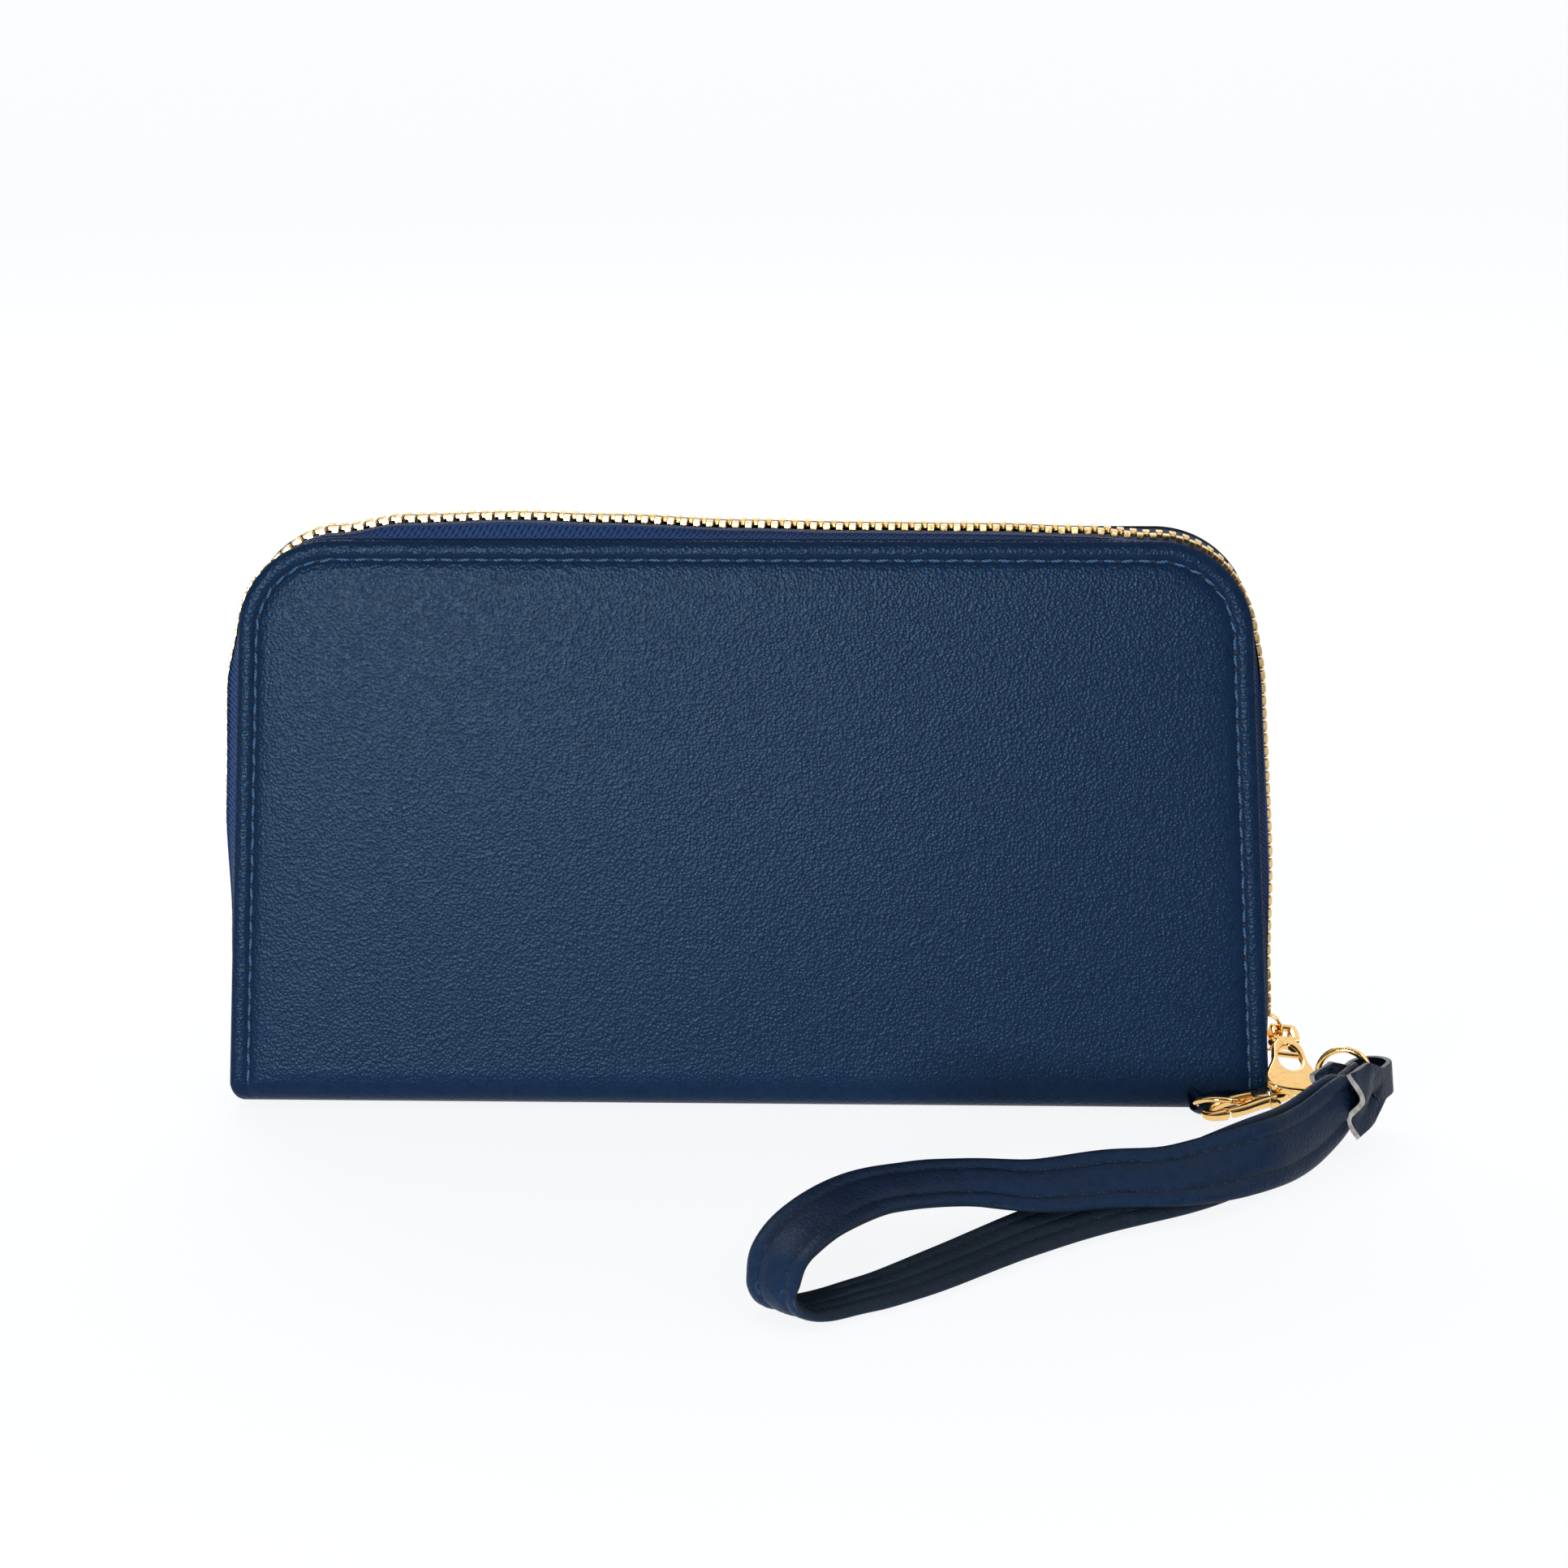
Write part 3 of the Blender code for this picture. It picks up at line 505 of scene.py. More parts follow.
def evenly(points, pitch, start=0.0, end=0.0):
    reach = [0.0]
    for a, b in zip(points, points[1:]):
        reach.append(reach[-1] + (b - a).length)
    total = reach[-1] - end
    count = max(int((total - start) / pitch), 1)
    found = []
    k = 0
    for n in range(count + 1):
        want = start + (total - start) * n / count
        while k < len(points) - 2 and reach[k + 1] < want:
            k += 1
        part = (want - reach[k]) / max(reach[k + 1] - reach[k], 1e-9)
        found.append((points[k].lerp(points[k + 1], part), (points[k + 1] - points[k]).normalized(), k))
    return found


# the wallet's own shape, read from the frame
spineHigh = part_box("spine_cover")[1]
wallet = {
    "halfWidth": spineHigh.x / mm,
    "halfDepth": spineHigh.y / mm,
    "top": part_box("front_cover")[1].z / mm,
    "foot": 5.0,
    "taper": 0.049,
    "lean": 0.042,
    "corner": 18.0,
    "leather": 1.3,
    "spineRadius": 5.0,
    "endTuck": 2.6,
    "crown": 0.5,
}
# how far each loop of the panel lies inside its edge, and how proud it stands there
rimLoops = [(0.0, -0.75), (0.15, -0.42), (0.4, -0.14), (0.8, 0.06), (1.4, 0.2), (2.1, 0.2), (2.7, 0.08),
            (3.1, -0.16), (3.4, -0.34), (3.7, -0.34), (4.0, -0.14), (4.5, 0.06), (5.6, 0.2), (8.0, 0.3),
            (11.5, 0.34), (18.0, 0.36)]
sideCells, topCells, footCells = 34, 64, 8


def widthAt(z):
    return wallet["halfWidth"] - wallet["taper"] * z


def depthAt(z):
    return wallet["halfDepth"] - wallet["lean"] * z


# the way outwards and the place on the rim line, from the left foot round to the right foot
def rimPoint(part, inset, foot):
    corner, top = wallet["corner"], wallet["top"]
    shoulder = top - corner
    middle = widthAt(shoulder) - corner
    side, arc, across = shoulder - foot, corner * math.pi / 2, 2 * middle
    reach = part * (2 * side + 2 * arc + across)
    flip = -1
    if reach > side + arc + across / 2:
        reach = 2 * side + 2 * arc + across - reach
        flip = 1
    if reach < side:
        z = foot + reach
        return Vector((flip * (widthAt(z) - inset), 0, z)), Vector((flip, 0, wallet["taper"])).normalized()
    if reach < side + arc:
        turn = (reach - side) / corner
        out = Vector((flip * math.cos(turn), 0, math.sin(turn)))
        return Vector((flip * middle, 0, shoulder)) + out * (corner - inset), out
    x = middle - (reach - side - arc)
    return Vector((flip * x, 0, top - inset)), Vector((0, 0, 1))


# where a panel's grid corner lies in x and height, how far inside the rim, and how proud
def panelPoint(column, row, cols, rows, footRows):
    loops = len(rimLoops) - 1
    corner, top = wallet["corner"], wallet["top"]
    shoulder = top - corner
    middle = widthAt(shoulder) - corner
    flip = -1 if column < cols / 2 else 1
    fromSide, fromTop = min(column, cols - column), rows - row
    low = wallet["foot"]
    z = low + (shoulder - low) * (row - footRows) / sideCells
    if fromTop >= loops:
        if fromSide < loops:
            inset, proud = rimLoops[fromSide]
            return flip * (widthAt(z) - inset), z, inset, proud
        x = ((column - loops) / topCells * 2 - 1) * (widthAt(z) - corner)
        return x, z, corner, rimLoops[-1][1]
    if fromSide >= loops:
        inset, proud = rimLoops[fromTop]
        return ((column - loops) / topCells * 2 - 1) * middle, top - inset, inset, proud
    loop = min(fromSide, fromTop)
    inset, proud = rimLoops[loop]
    if fromSide <= fromTop:
        turn = (loops - fromTop) / (loops - loop) / 2
    else:
        turn = 0.5 + (fromSide - loop) / (loops - loop) / 2
    angle = math.pi / 2 * turn
    reach = corner - inset
    return flip * (middle + reach * math.cos(angle)), shoulder + reach * math.sin(angle), inset, proud


def panelCrown(x, z):
    middle = 1 - (x / wallet["halfWidth"]) ** 2
    height = 1 - ((z - 56) / 54) ** 2
    ripple = 0.10 * math.sin(x * 0.047 + 1.3) * math.sin(z * 0.055 + 0.4) + 0.05 * math.sin(x * 0.11 + z * 0.07)
    return max(middle, 0) * max(height, 0) * (wallet["crown"] + ripple)


def turnOver(obj):
    pickOnly(obj)
    bpy.ops.object.mode_set(mode="EDIT")
    bpy.ops.mesh.select_all(action="SELECT")
    bpy.ops.mesh.flip_normals()
    bpy.ops.object.mode_set(mode="OBJECT")


def faceTowards(obj, way):
    total = Vector((0, 0, 0))
    for face in obj.data.polygons:
        total += face.normal * face.area
    if total.dot(Vector(way)) < 0:
        turnOver(obj)


# one leather panel; the front one runs on under the wallet to the back cover's foot
def makePanel(name, side, footRows):
    loops = len(rimLoops) - 1
    cols, rows = topCells + 2 * loops, footRows + sideCells + loops
    radius, flat = wallet["spineRadius"], wallet["halfDepth"] - wallet["spineRadius"]

    def place(column, row):
        if row >= footRows:
            x, z, inset, proud = panelPoint(column, row, cols, rows, footRows)
            return x, side * (depthAt(z) + proud + panelCrown(x, z)), z
        down = footRows - row
        if down <= footCells:
            angle = math.pi / 2 * down / footCells
            y, z, out = -flat - radius * math.cos(angle), radius - radius * math.sin(angle), angle
            tuck = 1 - math.cos(angle)
        elif down <= 2 * footCells:
            y, z, out = -flat + 2 * flat * (down - footCells) / footCells, 0.0, math.pi / 2
            tuck = 1.0
        else:
            angle = math.pi / 2 * (down - 2 * footCells) / footCells
            y, z, out = flat + radius * math.sin(angle), radius - radius * math.cos(angle), math.pi / 2 + angle
            tuck = math.cos(angle)
        end = widthAt(z) - wallet["endTuck"] * tuck
        fromSide = min(column, cols - column)
        proud = 0.0
        if fromSide < loops:
            inset, proud = rimLoops[fromSide]
            x = (end - inset) * (-1 if column < cols / 2 else 1)
            proud = min(proud, 0.0) * (1.0 if inset < 1 else max(0.0, 1 - down / 5))
        else:
            x = ((column - loops) / topCells * 2 - 1) * (end - wallet["corner"])
        return x, y - proud * math.cos(out), z - proud * math.sin(out)

    obj = gridSheet(name, cols, rows, place)
    faceTowards(obj, (0, side, 0))
    obj.data.materials.append(navyLeather)
    obj.data.materials.append(darkEdge)
    wall(obj, wallet["leather"], -1.0, 1)
    return smoothShade(obj, 50)


frontLeather = makePanel("front_leather", -1, 3 * footCells)
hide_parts("front_cover", "spine_cover")
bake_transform(frontLeather)
backLeather = settle(makePanel("back_leather", 1, 0), None, "back_half", "leather", "back_cover")
print("leather panels made")


# stitching
seam = {"inset": 3.55, "pitch": 3.2, "length": 2.5, "thread": 0.30, "sink": -0.22}


def stitchModel(length, thick):
    stitch = started(bpy.ops.mesh.primitive_uv_sphere_add, segments=8, ring_count=6, radius=1.0)
    stitch.data.transform(Matrix.Rotation(math.pi / 2, 4, "Y"))
    stitch.data.transform(Matrix.Diagonal((length / 2 * mm, thick * mm, thick * 0.8 * mm, 1)))
    for face in stitch.data.polygons:
        face.use_smooth = True
    return stitch


# a flattened disc laid just over the surface at a needle hole; its near-black finish is painted shade for the
# hole
def holeShadeModel(size):
    hole = started(bpy.ops.mesh.primitive_uv_sphere_add, segments=8, ring_count=4, radius=1.0)
    hole.data.transform(Matrix.Diagonal((size * mm, size * mm, size * 0.45 * mm, 1)))
    return hole


# stitches along a line; ups are the surface's outward ways at the same points
def stitchLine(name, points, ups, pitch, length, thread, finish, body, slot):
    found = evenly(points, pitch)
    places, holes = [], []
    for n, (point, along, k) in enumerate(found[:-1]):
        ahead = found[n + 1][0]
        tilt = Vector(ups[k]).cross(along) * (0.10 if n % 2 else -0.06)
        places.append(turnTo(along + tilt, ups[k], point.lerp(ahead, 0.5)))
        holes.append(turnTo(along, ups[k], point + Vector(ups[k]) * 0.02))
    stitches = settle(manyOf(name, stitchModel(length, thread), places), finish, body, slot)
    # the dark discs at the stitch ends are painted shade of the needle holes
    holeShades = settle(manyOf(name + "_holes", holeShadeModel(thread * 1.05), holes), needleHoleShade, body, slot)
    return stitches, holeShades


def rimSeam(name, side, body, slot):
    points, ups = [], []
    for k in range(401):
        point, _ = rimPoint(k / 400, seam["inset"], wallet["foot"] - 0.5)
        proud = seam["sink"] + panelCrown(point.x, point.z)
        points.append(Vector((point.x, side * (depthAt(point.z) + proud), point.z)))
        ups.append(Vector((0, side, 0)))
    return stitchLine(name, points, ups, seam["pitch"], seam["length"], seam["thread"], navyThread, body, slot)


rimSeam("front_stitches", -1, "root", "leather")
rimSeam("back_stitches", 1, "back_half", "leather")
print("rim stitched")


# zip: woven tape, teeth, slider
zipper = {
    # how far the teeth stand out past the covers' edges, from the left foot round to the right foot
    "rise": [(0.0, -0.6), (0.08, 0.6), (0.14, 2.0), (0.20, 2.2), (0.235, 0.3), (0.265, -1.1), (0.30, 0.3),
             (0.335, 2.3), (0.388, 2.9), (0.434, 2.4), (0.50, 1.4), (0.553, 1.0), (0.62, 0.8), (0.665, 0.3),
             (0.70, -0.8), (0.75, -0.8), (0.80, 1.2), (0.88, 1.5), (0.95, 0.5), (1.0, -0.4)],
    "foot": 4.0,
    "pitch": 2.4,
    "tapeUv": (392.0, 16.0),
    "toothLow": 9.0,
    "toothHigh": 17.5,
}


def riseAt(part):
    return eased(zipper["rise"], part)


def zipPoint(part, out, foot):
    point, way = rimPoint(part, 0.0, foot)
    return point + way * out, way


def makeTape(name, side, body, node):
    cols, rows = 220, 12
    shape = [(-6.0, 2.1, 1), (-3.5, 1.9, 1), (-1.4, 1.8, 1), (-0.3, 1.9, 1), (0.35, 2.6, 1), (0.85, 3.9, 1),
             (1.0, 0.66, 0), (1.0, 0.52, 0), (1.0, 0.40, 0), (0.95, 0.31, 0), (0.9, 0.24, 0), (0.85, 0.17, 0),
             (0.8, 0.11, 0)]

    def place(column, row):
        part = column / cols
        lift = riseAt(part)
        share, inward, counted = shape[row]
        out = share if share < 0 else (share - 0.35) / 0.65 * (lift + 0.1) if share > 0.35 else 0.0
        if 0 <= share <= 0.35:
            out = min(lift * 0.4, 0.3)
        point, _ = zipPoint(part, out, zipper["foot"])
        deep = depthAt(point.z)
        y = deep - inward if counted else deep * inward
        sway = 0.12 * math.sin(part * 61.0) + 0.08 * math.sin(part * 143.0 + row)
        return point.x, side * (y + (sway if row > 4 else 0.0)), point.z

    obj = gridSheet(name, cols, rows, place, zipper["tapeUv"])
    faceTowards(obj, (0, side, 0))
    wall(obj, 0.5, -1.0)
    smoothShade(obj, 60)
    return settle(obj, tapeCloth, body, "zip_tape", node)


def toothModel():
    tooth = started(bpy.ops.mesh.primitive_cube_add, size=1.0)
    size = Matrix.Diagonal((1.3 * mm, 2.1 * mm, 1.2 * mm, 1))
    tooth.data.transform(Matrix.Translation((0, -1.55 * mm, 0.45 * mm)) @ size)
    bpy.ops.object.mode_set(mode="EDIT")
    bpy.ops.mesh.select_all(action="DESELECT")
    bpy.ops.object.mode_set(mode="OBJECT")
    for face in tooth.data.polygons:
        face.select = face.normal.y > 0.9
    bpy.ops.object.mode_set(mode="EDIT")
    bpy.ops.mesh.inset(thickness=0.22 * mm)
    bpy.ops.mesh.extrude_region_move(TRANSFORM_OT_translate={"value": (0, 0.95 * mm, 0)})
    bpy.ops.mesh.select_all(action="SELECT")
    bpy.ops.object.mode_set(mode="OBJECT")
    rounded(tooth, 0.12, 1)
    return tooth


def makeTeeth(name, side, body, node):
    cells = 700
    points, outs = [], []
    for k in range(cells + 1):
        part = k / cells
        point, way = zipPoint(part, riseAt(part), zipper["foot"])
        if (part < 0.5 and point.z < zipper["toothLow"]) or (part > 0.5 and point.z < zipper["toothHigh"]):
            continue
        points.append(point)
        outs.append(way)
    found = evenly(points, zipper["pitch"])
    shift = zipper["pitch"] / 4 * -side
    places = [turnTo(along * -side, outs[k], point + along * shift) for point, along, k in found]
    teeth = manyOf(name, toothModel(), places)
    return settle(teeth, zipMetal, body, "gold", node)


makeTape("front_tape", -1, "root", "front_zip_tape")
makeTape("back_tape", 1, "back_half", "back_zip_tape")
makeTeeth("front_teeth_row", -1, "root", "front_teeth")
makeTeeth("back_teeth_row", 1, "back_half", "back_teeth")
print("zip made")


# slider and puller
slider = {"axis": (-0.02075, 0.0, 0.99978), "length": 9.4, "width": 9.0, "plate": 0.95}
sliderLow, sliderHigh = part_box("slider_body")
sliderAxis = Vector(slider["axis"]).normalized()
sliderOut = Vector((0, 1, 0)).cross(sliderAxis)
sliderSeat = Vector((sliderHigh.x / mm + 0.05, 0.0, (sliderLow.z + sliderHigh.z) / 2 / mm))


def frameMatrix(across, along, out, place):
    turn = Matrix((across, along, out)).transposed().to_4x4()
    turn.translation = place * mm
    return turn


# a plate from closed outlines, the first one outside and the others cut out of it
def plateFrom(name, outlines, thickness, edge, place, steps=3):
    curve = bpy.data.curves.new(name, "CURVE")
    curve.dimensions = "2D"
    curve.fill_mode = "BOTH"
    curve.extrude = (thickness / 2 - edge) * mm
    curve.bevel_depth = edge * mm
    curve.bevel_resolution = steps
    curve.offset = -edge * mm
    for outline in outlines:
        line = curve.splines.new("POLY")
        line.points.add(len(outline) - 1)
        for point, (x, y) in zip(line.points, outline):
            point.co = (x * mm, y * mm, 0, 1)
        line.use_cyclic_u = True
    obj = bpy.data.objects.new(name, curve)
    bpy.context.collection.objects.link(obj)
    pickOnly(obj)
    bpy.ops.object.convert(target="MESH")
    obj = bpy.context.object
    closeUp(obj, False)
    obj.data.transform(place)
    return smoothShade(obj, 40)


def closedSoft(corners, steps):
    loop = [Vector((x, y)) for x, y in corners]
    count = len(loop)
    points = []
    for i in range(count):
        near = [loop[(i + k) % count] for k in (-1, 0, 1, 2)]
        points += [softPoint(*near, k / steps)[:] for k in range(steps)]
    return points


def mirrored(half):
    return half + [(-x, y) for x, y in reversed(half) if abs(x) > 1e-6]


# a band swept along a line of (along, out) points, with an oval section
def sweptWire(name, line, upAt, halfWide, halfThick, sides=14, fill=True):
    rings = []
    for i, point in enumerate(line):
        along = (line[min(i + 1, len(line) - 1)] - line[max(i - 1, 0)]).normalized()
        wide = Vector(upAt(i))
        wide = (wide - along * wide.dot(along)).normalized()
        thin = along.cross(wide)
        part = i / (len(line) - 1)
        a = halfWide(part) if callable(halfWide) else halfWide
        b = halfThick(part) if callable(halfThick) else halfThick
        rings.append([point + wide * a * math.cos(2 * math.pi * k / sides)
                      + thin * b * math.sin(2 * math.pi * k / sides) for k in range(sides)])
    return smoothShade(sweptSkin(name, rings, None, fill), 50)


def makeSlider():
    half, tall = slider["width"] / 2, slider["length"] / 2
    shield = mirrored([(0, tall), (half * 0.55, tall - 0.1), (half * 0.95, tall - 1.3), (half, tall - 3.0),
                       (half * 0.80, 0.2), (half * 0.70, -tall * 0.6), (half * 0.62, -tall + 0.4), (0, -tall)])
    face = frameMatrix(Vector((0, 1, 0)), sliderAxis, sliderOut, sliderSeat - sliderOut * (slider["plate"] / 2))
    top = plateFrom("slider_plate", [closedSoft(shield, 4)], slider["plate"], 0.25, face)
    rails = []
    flank = [(0.62, 0.98), (0.3, 0.94), (0.0, 0.82), (-0.4, 0.74), (-0.85, 0.66)]
    for side in (-1, 1):
        line = [sliderSeat + Vector((0, side * (half * wide - 0.25), 0)) + sliderAxis * tall * up
                - sliderOut * 1.3 for up, wide in flank]
        rails.append(sweptWire("rail", softLine(line, 3), lambda i: sliderOut, 0.95, 0.32))
    under = frameMatrix(Vector((0, 1, 0)), sliderAxis, sliderOut, sliderSeat - sliderOut * 4.4)
    low = plateFrom("slider_under", [closedSoft([(x * 0.8, y) for x, y in shield], 4)], 0.8, 0.2, under)
    core = [sliderSeat - sliderOut * deep for deep in (4.2, 2.0, 0.4)]
    post = sweptWire("post", core, lambda i: sliderAxis, 1.5, 0.32)
    return settle(joinAll("slider_shell", top, low, post, *rails), gold, "slider", "gold", "slider_body")


# the strip that stands off the slider; the puller rides on it
def makeCrown():
    arch = [(3.7, -0.1), (3.75, 0.9), (3.1, 2.1), (1.6, 3.0), (0.1, 3.15), (-1.4, 2.9), (-2.6, 2.1),
            (-3.1, 0.9), (-3.0, -0.1)]
    line = softLine([sliderSeat + sliderAxis * up + sliderOut * out for up, out in arch], 4)
    strip = sweptWire("crown_strip", line, lambda i: (0, 1, 0), lambda part: 1.0 - 0.25 * part, 0.34)
    foot = sweptWire("crown_foot", [sliderSeat + sliderAxis * up + sliderOut * out
                                    for up, out in ((5.6, 1.2), (4.9, 0.7), (3.9, 0.35), (2.8, 0.1))],
                     lambda i: (0, 1, 0), 0.62, 0.3)
    return settle(joinAll("slider_arch", strip, foot), gold, "slider", "gold", "slider_crown")


puller = {"down": (0.05, -0.96, -0.275), "side": (0.87, 0.5, 0.0), "plate": 1.7, "edge": 0.55}


def pullerPlace():
    top = sliderSeat + sliderAxis * 0.2 + sliderOut * 3.6
    down = Vector(puller["down"]).normalized()
    side = Vector(puller["side"])
    side = (side - down * side.dot(down)).normalized()
    return frameMatrix(side, down, side.cross(down), top)


def makePuller():
    place = pullerPlace()
    bell = mirrored([(0, 3.2), (1.6, 3.3), (2.3, 4.3), (2.9, 5.8), (3.2, 8.0), (3.5, 10.6), (4.5, 13.6),
                     (5.3, 16.2), (5.3, 18.2), (4.2, 19.7), (2.0, 20.3), (0, 20.4)])
    window = [(2.2 * math.sin(a) * (1 - 0.10 * math.cos(a)), 9.6 - 4.4 * math.cos(a)) for a in
              [2 * math.pi * k / 32 for k in range(32)]]
    plate = plateFrom("bell", [closedSoft(bell, 4), window], puller["plate"], puller["edge"], place, 4)
    across = [place @ Vector((x * mm, 7.6 * mm, 0.1 * mm)) / mm for x in (-2.4, -1.2, 0.0, 1.2, 2.4)]
    bar = sweptWire("bar", across, lambda i: (0, 0, 1), 0.6, 0.6)
    settle(joinAll("puller_plate", plate, bar), gold, "puller", "gold", "puller")
    sides = []
    for x in (-1.95, 1.95):
        line = [place @ Vector((x * 0.98 * mm, y * mm, z * mm)) / mm
                for y, z in ((-1.3, 0.1), (-0.4, 0.35), (0.8, 0.4), (2.0, 0.25), (3.0, 0.0))]
        sides.append(sweptWire("lobe", softLine(line, 3), lambda i: (1, 0, 0),
                               lambda part: 0.75 + 0.45 * math.sin(math.pi * part),
                               lambda part: 0.80 + 0.25 * math.sin(math.pi * part)))
    for y, z, thick in ((-1.25, 0.0, 0.72), (2.9, 0.0, 0.90)):
        way = -1 if y < 0 else 1
        line = [place @ Vector((x * mm, (y + 0.25 * (1 - (x / 2.2) ** 2) * way) * mm, z * mm)) / mm
                for x in (-2.3, -1.5, -0.7, 0.0, 0.7, 1.5, 2.3)]
        sides.append(sweptWire("cross", line, lambda i: (0, 0, 1), thick, thick))
    ball = started(bpy.ops.mesh.primitive_uv_sphere_add, segments=20, ring_count=12, radius=0.85 * mm)
    ball.data.transform(place @ Matrix.Translation((-2.5 * mm, 3.6 * mm, 0.2 * mm)))
    smoothShade(ball, 60)
    settle(joinAll("puller_head", *sides, ball), gold, "puller", "gold", "puller_link")


makeSlider()
makeCrown()
makePuller()
print("slider and puller made")


# ring, clasp and eye
ring = {"centre": (88.97, -16.60, 3.15), "normal": (0.067, 0.50, 0.863), "radius": 4.59, "wire": 0.58}
eye = {"centre": (111.8, -17.3, 9.4), "normal": (0.25, 1.0, 0.0), "radius": 4.9, "wire": 0.62}
clasp = {"foot": (86.0, -18.6, 1.9), "axis": (20.7, 2.5, 5.2), "side": (-0.12, 0.993, 0.0)}
claspAxis = Vector(clasp["axis"]).normalized()
claspSide = Vector(clasp["side"]).normalized()
claspUp = claspAxis.cross(claspSide).normalized()


def claspPoint(along, across, up=0.0):
    return Vector(clasp["foot"]) + claspAxis * along + claspSide * across + claspUp * up


# a wire ring with its cut seam showing
def wireRing(name, look, seamAt, gap):
    normal = Vector(look["normal"]).normalized()
    start = Vector(seamAt)
    start = (start - normal * start.dot(normal)).normalized()
    other = normal.cross(start)
    cells = 72
    line = []
    for k in range(cells + 1):
        turn = gap + (2 * math.pi - 2 * gap) * k / cells
        line.append(Vector(look["centre"]) + (start * math.cos(turn) + other * math.sin(turn)) * look["radius"])
    return sweptWire(name, line, lambda i: normal, look["wire"], look["wire"], 16)


# a turned post on the clasp's own axis, from (along, radius) pairs
def turnedPost(name, shape, sides):
    rings = []
    for along, radius in shape:
        turns = [2 * math.pi * k / sides for k in range(sides)]
        rings.append([claspPoint(along, 0.2 + radius * math.cos(a), radius * math.sin(a)) for a in turns])
    return smoothShade(sweptSkin(name, rings), 50)


def makeClasp():
    arm = [(11.2, 2.0), (9.2, 2.9), (7.2, 3.45), (5.0, 3.65), (3.1, 3.3), (1.6, 2.4), (0.5, 1.0), (0.3, -0.5),
           (0.9, -1.7), (1.9, -2.5), (3.1, -2.9), (4.3, -3.0)]
    line = softLine([claspPoint(*p) for p in arm], 4)
    hook = sweptWire("hook", line, lambda i: claspUp,
                     lambda part: 1.2 - 0.32 * math.sin(math.pi * part) if part < 0.97 else 0.7,
                     lambda part: 1.0 - 0.14 * math.sin(math.pi * part) if part < 0.97 else 0.6, 18)
    body = [(9.2, 1.7, 0.7, 1.0), (9.9, 1.2, 1.7, 1.35), (11.0, 0.8, 2.5, 1.5), (12.6, 0.6, 2.85, 1.55),
            (14.2, 0.5, 2.75, 1.55), (15.4, 0.35, 2.15, 1.5), (16.0, 0.2, 1.5, 1.35), (16.4, 0.2, 0.9, 0.9)]
    rings = []
    for along, across, wide, thick in body:
        section = []
        for k in range(28):
            a = 2 * math.pi * k / 28
            c, s = math.cos(a), math.sin(a)
            section.append(claspPoint(along, across + wide * math.copysign(abs(c) ** 0.75, c),
                                      thick * math.copysign(abs(s) ** 0.75, s)))
        rings.append(section)
    barrel = softer(sweptSkin("barrel", rings), 1)
    smoothShade(barrel, 60)
    cap = turnedPost("cap", ((15.9, 0.9), (16.1, 1.45), (16.5, 1.55), (16.9, 1.45), (17.0, 1.1)), 24)
    settle(joinAll("clasp_body", hook, barrel, cap), gold, "clasp", "gold", "clasp_hook")
    pin = []
    for up, radius in ((-1.75, 0.0001), (-1.75, 0.45), (-1.6, 0.6), (1.6, 0.6), (1.75, 0.45), (1.75, 0.0001)):
        pin.append([claspPoint(12.6 + radius * math.cos(2 * math.pi * k / 20),
                               -1.3 + radius * math.sin(2 * math.pi * k / 20), up) for k in range(20)])
    settle(smoothShade(sweptSkin("lever_rivet", pin), 50), steel, "clasp", "steel", "lever_pin")


def makeLever():
    gate = [(4.6, -2.95), (5.6, -3.1), (7.0, -3.05), (8.6, -2.7), (10.4, -2.3), (12.2, -2.3), (13.6, -2.4)]
    line = softLine([claspPoint(*p) for p in gate], 4)
    bar = sweptWire("gate", line, lambda i: claspUp, lambda part: 1.0 + 0.15 * part,
                    lambda part: 0.85 + 0.25 * part, 16)
    lug = [(12.6, -2.6), (12.7, -3.4), (12.75, -4.2), (12.9, -4.9), (12.95, -5.2)]
    line = softLine([claspPoint(*p) for p in lug], 4)
    thumb = sweptWire("thumb", line, lambda i: claspUp, lambda part: 0.85 + 0.25 * part if part < 0.95 else 0.6,
                      lambda part: 0.75 + 0.2 * part if part < 0.95 else 0.5, 16)
    settle(joinAll("clasp_gate", bar, thumb), gold, "lever", "gold", "clasp_lever")


def makeEye():
    wire = wireRing("eye_wire", eye, (-0.8, 0.2, -0.9), 0.02)
    shape = [(17.1, 0.75), (17.5, 1.15), (18.0, 1.25), (18.5, 1.1), (19.0, 0.8), (20.2, 0.72), (21.4, 0.72),
             (22.2, 0.85), (22.9, 0.95), (23.3, 0.7)]
    settle(joinAll("eye_ring", wire, turnedPost("eye_post", shape, 20)), gold, "eye", "gold", "clasp_eye")


settle(wireRing("foot_ring", ring, (0.4, -1.0, 0.2), 0.012), gold, "ring", "gold", "strap_ring")
makeClasp()
makeLever()
makeEye()
print("ring and clasp made")


# wrist strap and its tab
strap = {
    "width": 12.6, "ply": 2.0, "held": 8.8, "pitch": 3.1,
    "fold": (116.55, -18.5, 9.35), "run": (-0.42, -0.90, -0.12), "up": (-0.08, 0.02, 0.99), "tabLength": 17.0,
}
